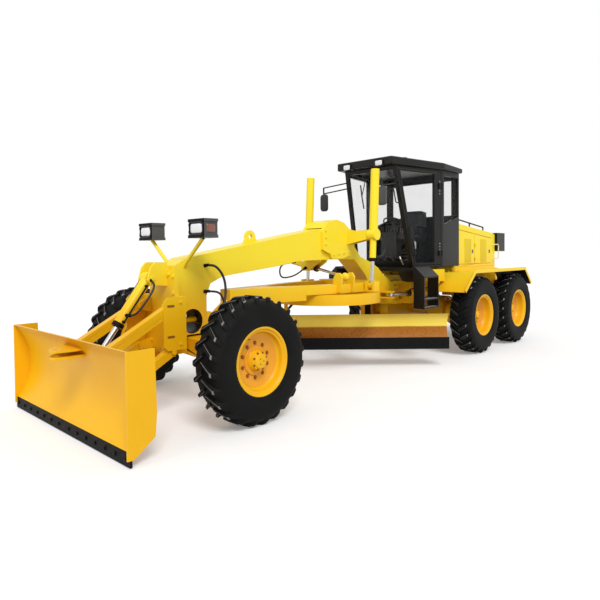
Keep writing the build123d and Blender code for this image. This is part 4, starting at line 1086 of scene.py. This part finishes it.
hose("steering_hose", "front_frame", 1.07, 0.03,
     (-0.152, 0.165, 1.65), (-0.165, 0.225, 1.66), (-0.235, 0.285, 1.64), (-0.315, 0.33, 1.5),
     (-0.3, 0.37, 1.3), (-0.2, 0.42, 1.1), (-0.1, 0.44, 0.95), (-0.06, 0.44, 0.805))
hose("axle_hose", "front_frame", 0.78, 0.026,
     (-0.15, 0.165, 1.34), (-0.2, 0.22, 1.345), (-0.3, 0.28, 1.32), (-0.32, 0.33, 1.15),
     (-0.2, 0.36, 0.98), (-0.06, 0.36, 0.805))
hose("shift_hose", "front_frame", 1.24, 0.022,
     (-1.84, 0.05, 1.665), (-1.72, 0.055, 1.648), (-1.59, 0.06, 1.635), (-1.534, 0.06, 1.58),
     (-1.534, 0.055, 1.5), (-1.59, 0.05, 1.444), (-1.75, 0.03, 1.446), (-1.95, -0.03, 1.47),
     (-2.1, -0.085, 1.505), (-2.2, -0.12, 1.535), (-2.31, -0.15, 1.565))
for side, y in (("left", 1), ("right", -1)):
    hose("lift_hose_" + side, "lift_barrel_" + side, 0.76, 0.024,
         (-2.985, y * 0.64, 1.73), (-3.07, y * 0.64, 1.72), (-3.24, y * 0.62, 1.74), (-3.33, y * 0.6, 1.86),
         (-3.24, y * 0.61, 1.99), (-3.1, y * 0.64, 1.99), (-3.01, y * 0.64, 1.97))
    hose("dozer_hose_" + side, "dozer_barrel", 0.62, 0.024,
         (0.56, y * 0.062, 1.5), (0.56, y * 0.12, 1.5), (0.56, y * 0.19, 1.44), (0.66, y * 0.2, 1.3),
         (0.78, y * 0.17, 1.15), (0.82, y * 0.11, 1.13), (0.84, y * 0.06, 1.13))

# %% [markdown]
# ## Driver's seat
# The seat is a suspension seat with a vinyl cushion, back and two armrests. A cushion is a box whose
# corners swell and whose faces are crowned: the powers of cosine and sine below 1 square the ball
# up. Sewn channels are shallow grooves pressed into it along smooth bell curves.


# %% Cushions and armrests
# power that squares a ball, how much its faces crown, depth and spread of a sewn channel
SQUARE, CROWN, CHANNEL = 0.32, 0.16, (0.12, 0.045)


def power(value):
    """Signed power below 1, which pushes a ball out towards its box."""
    return np.sign(value) * np.abs(value) ** SQUARE


def cushion(low, high, channels, axis):
    """Squared ball: half size times signed powers of cos and sin, less the channels' bell curves."""
    low, high = at(low, high)
    middle, half = (low + high) / 2, (high - low) / 2
    u, v = np.meshgrid(np.linspace(-pi / 2, pi / 2, 40), np.arange(72) * tau / 72, indexing="ij")
    level = power(np.cos(u))
    ball = np.stack([level * power(np.cos(v)), level * power(np.sin(v)), power(np.sin(u))], -1)
    if axis == 0:
        ball = ball[..., [2, 1, 0]]
    crown = 1 - CROWN * ((ball ** 2).sum(-1) - ball[..., axis] ** 2)
    depth, spread = CHANNEL
    for place in channels:
        crown = crown - depth * np.exp(-(((ball[..., 1] - place) / spread) ** 2))
    ball[..., axis] *= crown
    return middle + ball * half


# name, low and high corner, crowned axis, channels across
pads = (
    ("seat_cushion", (-5.165, -0.258, 1.94), (-4.672, 0.258, 2.115), 2, (-0.42, 0.42)),
    ("seat_back", (-5.278, -0.248, 1.99), (-5.088, 0.248, 2.55), 0, (-0.42, 0.42)),
    ("armrest_left", (-5.12, 0.262, 2.225), (-4.8, 0.318, 2.275), 2, ()),
    ("armrest_right", (-5.12, -0.318, 2.225), (-4.8, -0.262, 2.275), 2, ()),
)
for name, low, high, axis, channels in pads:
    pad = fit(name, "rear_frame", seat_cloth, [cushion(low, high, channels, axis)], sharp=80)
posts = [pipe(0.014, at((-5.17, 0.24, 2.16), (-5.15, 0.285, 2.18), (-5.1, 0.29, 2.235)))]
fit("armrest_posts", "rear_frame", plastic, both_sides(posts))
folds = [(0.01 + 0.03 * i, 0.18 + 0.018 * (i % 2)) for i in range(11)]
bellows = [(0, 0), (0, 0.15), (0, 0.19)] + folds + [(0.34, 0.15), (0.34, 0)]
fit("seat_bellows", "rear_frame", hose_rubber, [spun(bellows, spot(-4.95, 0, 1.6), (0, 0, 1), 40)], sharp=60)
print("pads", [row[0] for row in pads])

# %% [markdown]
# ## Controls
# A grader is steered with a thin wheel and worked with two banks of short levers beside it, and its
# pedals lie ahead of the seat. The solid's wheel is a plain disc, so its faces are left out of the
# copy, and a rim, spokes and hub take its place. The mirrors' plain boxes give way to rounded heads
# in the same way.

# %% Steering wheel, levers and mirrors
wheel_centre, wheel_axis, left_axis = spot(-4.53, 0, 2.31), unit((-0.55, 0, 1)), np.array([0, 1, 0])
# side, finish, x, y, low and high z of each mirror head
mirrors = (("left", lamp_grey, -3.235, 0.6, 2.515, 2.81), ("right", plastic, -3.45, -0.73, 2.515, 2.81))


def finer_in_cab(point):
    """True on the disc of the wheel and on the two mirrors' boxes."""
    offset = np.array(point) - wheel_centre
    along = offset @ wheel_axis
    on_disc = abs(along) < 0.0125 and np.linalg.norm(offset - along * wheel_axis) < 0.202
    x, y, z = point.x - axle_x, point.y, point.z
    return on_disc or any(
        abs(x - mirror_x) < 0.0225 and abs(y - mirror_y) < 0.083 and low - 0.001 < z < high + 0.001
        for _, _, mirror_x, mirror_y, low, high in mirrors)


def wheel_point(angle):
    """Direction in the steering wheel's plane, cos a forward and sin a to the left."""
    return cos(angle) * np.cross(wheel_axis, left_axis) + sin(angle) * left_axis


cab_fittings = dress("cab_fittings", 0.003, finer_in_cab)
rim_path = [wheel_centre + 0.19 * wheel_point(angle) for angle in np.linspace(0, tau, 65)]
hub = [(-0.035, 0), (-0.035, 0.03), (0.0, 0.045), (0.012, 0.04), (0.016, 0)]
controls = [pipe(0.013, rim_path, wheel_axis, 14), spun(hub, wheel_centre, wheel_axis, 28)]
for angle in (0.5, 2.64, 4.71):
    spoke = wheel_centre + np.outer([0.03, 0.185], wheel_point(angle))
    controls.append(swept(rounded(0.028, 0.01, 0.004), spoke, wheel_axis))
fit("steering_wheel", "rear_frame", plastic, controls)
lever_y = (0.06, 0.11, 0.18, 0.225, 0.27)
stalks = [pipe(0.006, at((-4.43, y, 2.1), (-4.46, y, 2.23)), count=8) for y in lever_y]
knob = [(0, 0), (0, 0.008), (0.012, 0.014), (0.034, 0.016), (0.046, 0.01), (0.049, 0)]
knobs = [spun(knob, spot(-4.457, y, 2.215), (-0.23, 0, 1), 16) for y in lever_y]
fit("lever_stalks", "rear_frame", grey_iron, both_sides(stalks))
fit("lever_knobs", "rear_frame", plastic, both_sides(knobs))
fit("lever_pods", "rear_frame", plastic, both_sides([plate((-4.5, 0.15, 2.02), (-4.37, 0.31, 2.11), 0.02)]))
pedals = [dome(spot(-4.22, y, 1.66), (-0.5, 0, 0.85), 0.1, 0.16, 0.008, 0.015) for y in (0.1, 0.26)]
fit("pedals", "rear_frame", steel, both_sides(pedals))
for side, material, x, y, low, high in mirrors:
    z, tall = (low + high) / 2, high - low
    head = [dome(spot(x - 0.014, y, z), (1, 0, 0), 0.164, tall, 0.03, 0.05, 0.008)]
    fit("mirror_head_" + side, "rear_frame", material, head)
    face = [dome(spot(x - 0.0225, y, z), (-1, 0, 0), 0.14, tall - 0.03, 0.002, 0.04)]
    fit("mirror_face_" + side, "rear_frame", mirror_glass, face)
tint(cab_fittings, amber_lens, (-5, -0.06, 3.385), (-4.8, 0.06, 3.6))

# %% [markdown]
# ## Cab trim
# The doors have a grab bar and a lever handle on the stile away from their hinges, and the screen
# has a wiper. These are pipes and pads set out from the door's own plane, which turns inwards
# towards the front of the cab.

# %% Cab trim
door_slope, screen_lean = 0.21, 0.235
door_norm, door_run = unit((door_slope, 1, 0)), unit((-1, door_slope, 0))


def on_door(run, z, out):
    """A point on the left door's plane: run is forward of the rear post when negative."""
    return spot(-4.905, 0.75, z) + run * door_run + out * door_norm


def on_screen(y, z, out=0.02):
    """A point just ahead of the leaning windscreen."""
    return spot(-4.14 + (z - 1.63) * screen_lean + out, y, z)


grab_points = ((-0.738, 1.72, -0.004), (-0.738, 1.74, 0.036), (-0.748, 1.78, 0.042),
               (-0.833, 2.14, 0.042), (-0.843, 2.18, 0.036), (-0.845, 2.2, -0.004))
grab = [pipe(0.01, [on_door(*point) for point in grab_points], (1, 0, 0))]
catch = [dome(on_door(-0.715, 1.9, -0.001), door_norm, 0.05, 0.13, 0.012, 0.012)]
rivet_spots = [on_door(-0.095, z, -0.001) for z in np.r_[1.73:1.93:5j, 2.79:3.0:5j]]
rivets = bolts(rivet_spots, door_norm, 0.008, 0.006)
for side, place in halves:
    body = "cab_door_" + side
    fit(body + "_grab_bar", body, plastic, place(grab))
    fit(body + "_handle", body, steel, place(catch))
    fit(body + "_rivets", body, steel, place(rivets))
arm = [on_screen(0.08, 3.06), on_screen(0.14, 2.9, 0.03), on_screen(0.21, 2.75, 0.03)]
blade = [on_screen(0.21, 2.55, 0.016), on_screen(0.21, 2.75, 0.024), on_screen(0.21, 2.95, 0.016)]
wiper = [pipe(0.008, arm, (0, 1, 0), 8), swept(rounded(0.012, 0.022, 0.004), blade, (0, 1, 0))]
fit("wiper", "rear_frame", plastic, flipped(wiper))
post_points = ((0.49, 2.84, 0.0), (0.47, 2.84, 0.06), (0.46, 2.82, 0.07),
               (0.47, 2.62, 0.07), (0.48, 2.6, 0.06), (0.5, 2.6, 0.0))
post_grab = [on_screen(*point) for point in post_points]
low_grab = at((-3.95, 0.47, 1.7), (-3.9, 0.5, 1.71), (-3.9, 0.52, 1.68), (-3.97, 0.52, 1.58))
fit("post_grab_bars", "rear_frame", plastic, both_sides([pipe(0.01, post_grab, (0, 1, 0))]))
fit("low_grab_bars", "rear_frame", steel, both_sides([pipe(0.011, low_grab, (0, 1, 0))]))
print("rivets a door", len(rivet_spots))

# %% [markdown]
# ## Treads, slots and the circle's motor
# Boots wear the paint off a step, so its treads have bright nosings with studs. The nose plates have
# slots for the dozer's pins, drawn as thin brown pads that are painted shade in the slots, and a motor
# on the drawbar turns the circle.

# %% Treads, slots and motor
treads = []
stud = [(0, 0), (0, 0.009), (0.005, 0.006), (0.006, 0)]
for z in (0.904, 1.039):
    treads.append(plate((-4.3, 0.925, z - 0.002), (-3.892, 0.964, z + 0.004), 0.002))
    treads += [spun(stud, spot(x, 0.9, z), (0, 0, 1), 10) for x in np.linspace(-4.27, -3.92, 9)]
fit("step_treads", "rear_frame", steel, both_sides(treads))
# painted shade: thin brown pads stand for the shade inside the slots
slots = [dome(spot(0.5, 0.3975, z), (0, 1, 0), 0.1, 0.03, 0.0015, 0.0145) for z in (0.89, 1.225)]
fit("nose_slots", "front_frame", bolt_brown, both_sides(slots))
motor = [(1.223, 0), (1.223, 0.13), (1.24, 0.136), (1.285, 0.136), (1.298, 0.12), (1.298, 0)]
fit("circle_motor", "drawbar", yellow, [spun(motor, spot(-2.06, 0, 0), (0, 0, 1), 40)])
front_skin = dressed["front_frame"]
tint(front_skin, black, (-0.11, -0.158, 0.84), (0.2, 0.158, 1.16))
tint(front_skin, yellow, (-0.12, -0.045, 0.955), (0.2, 0.045, 1.045))
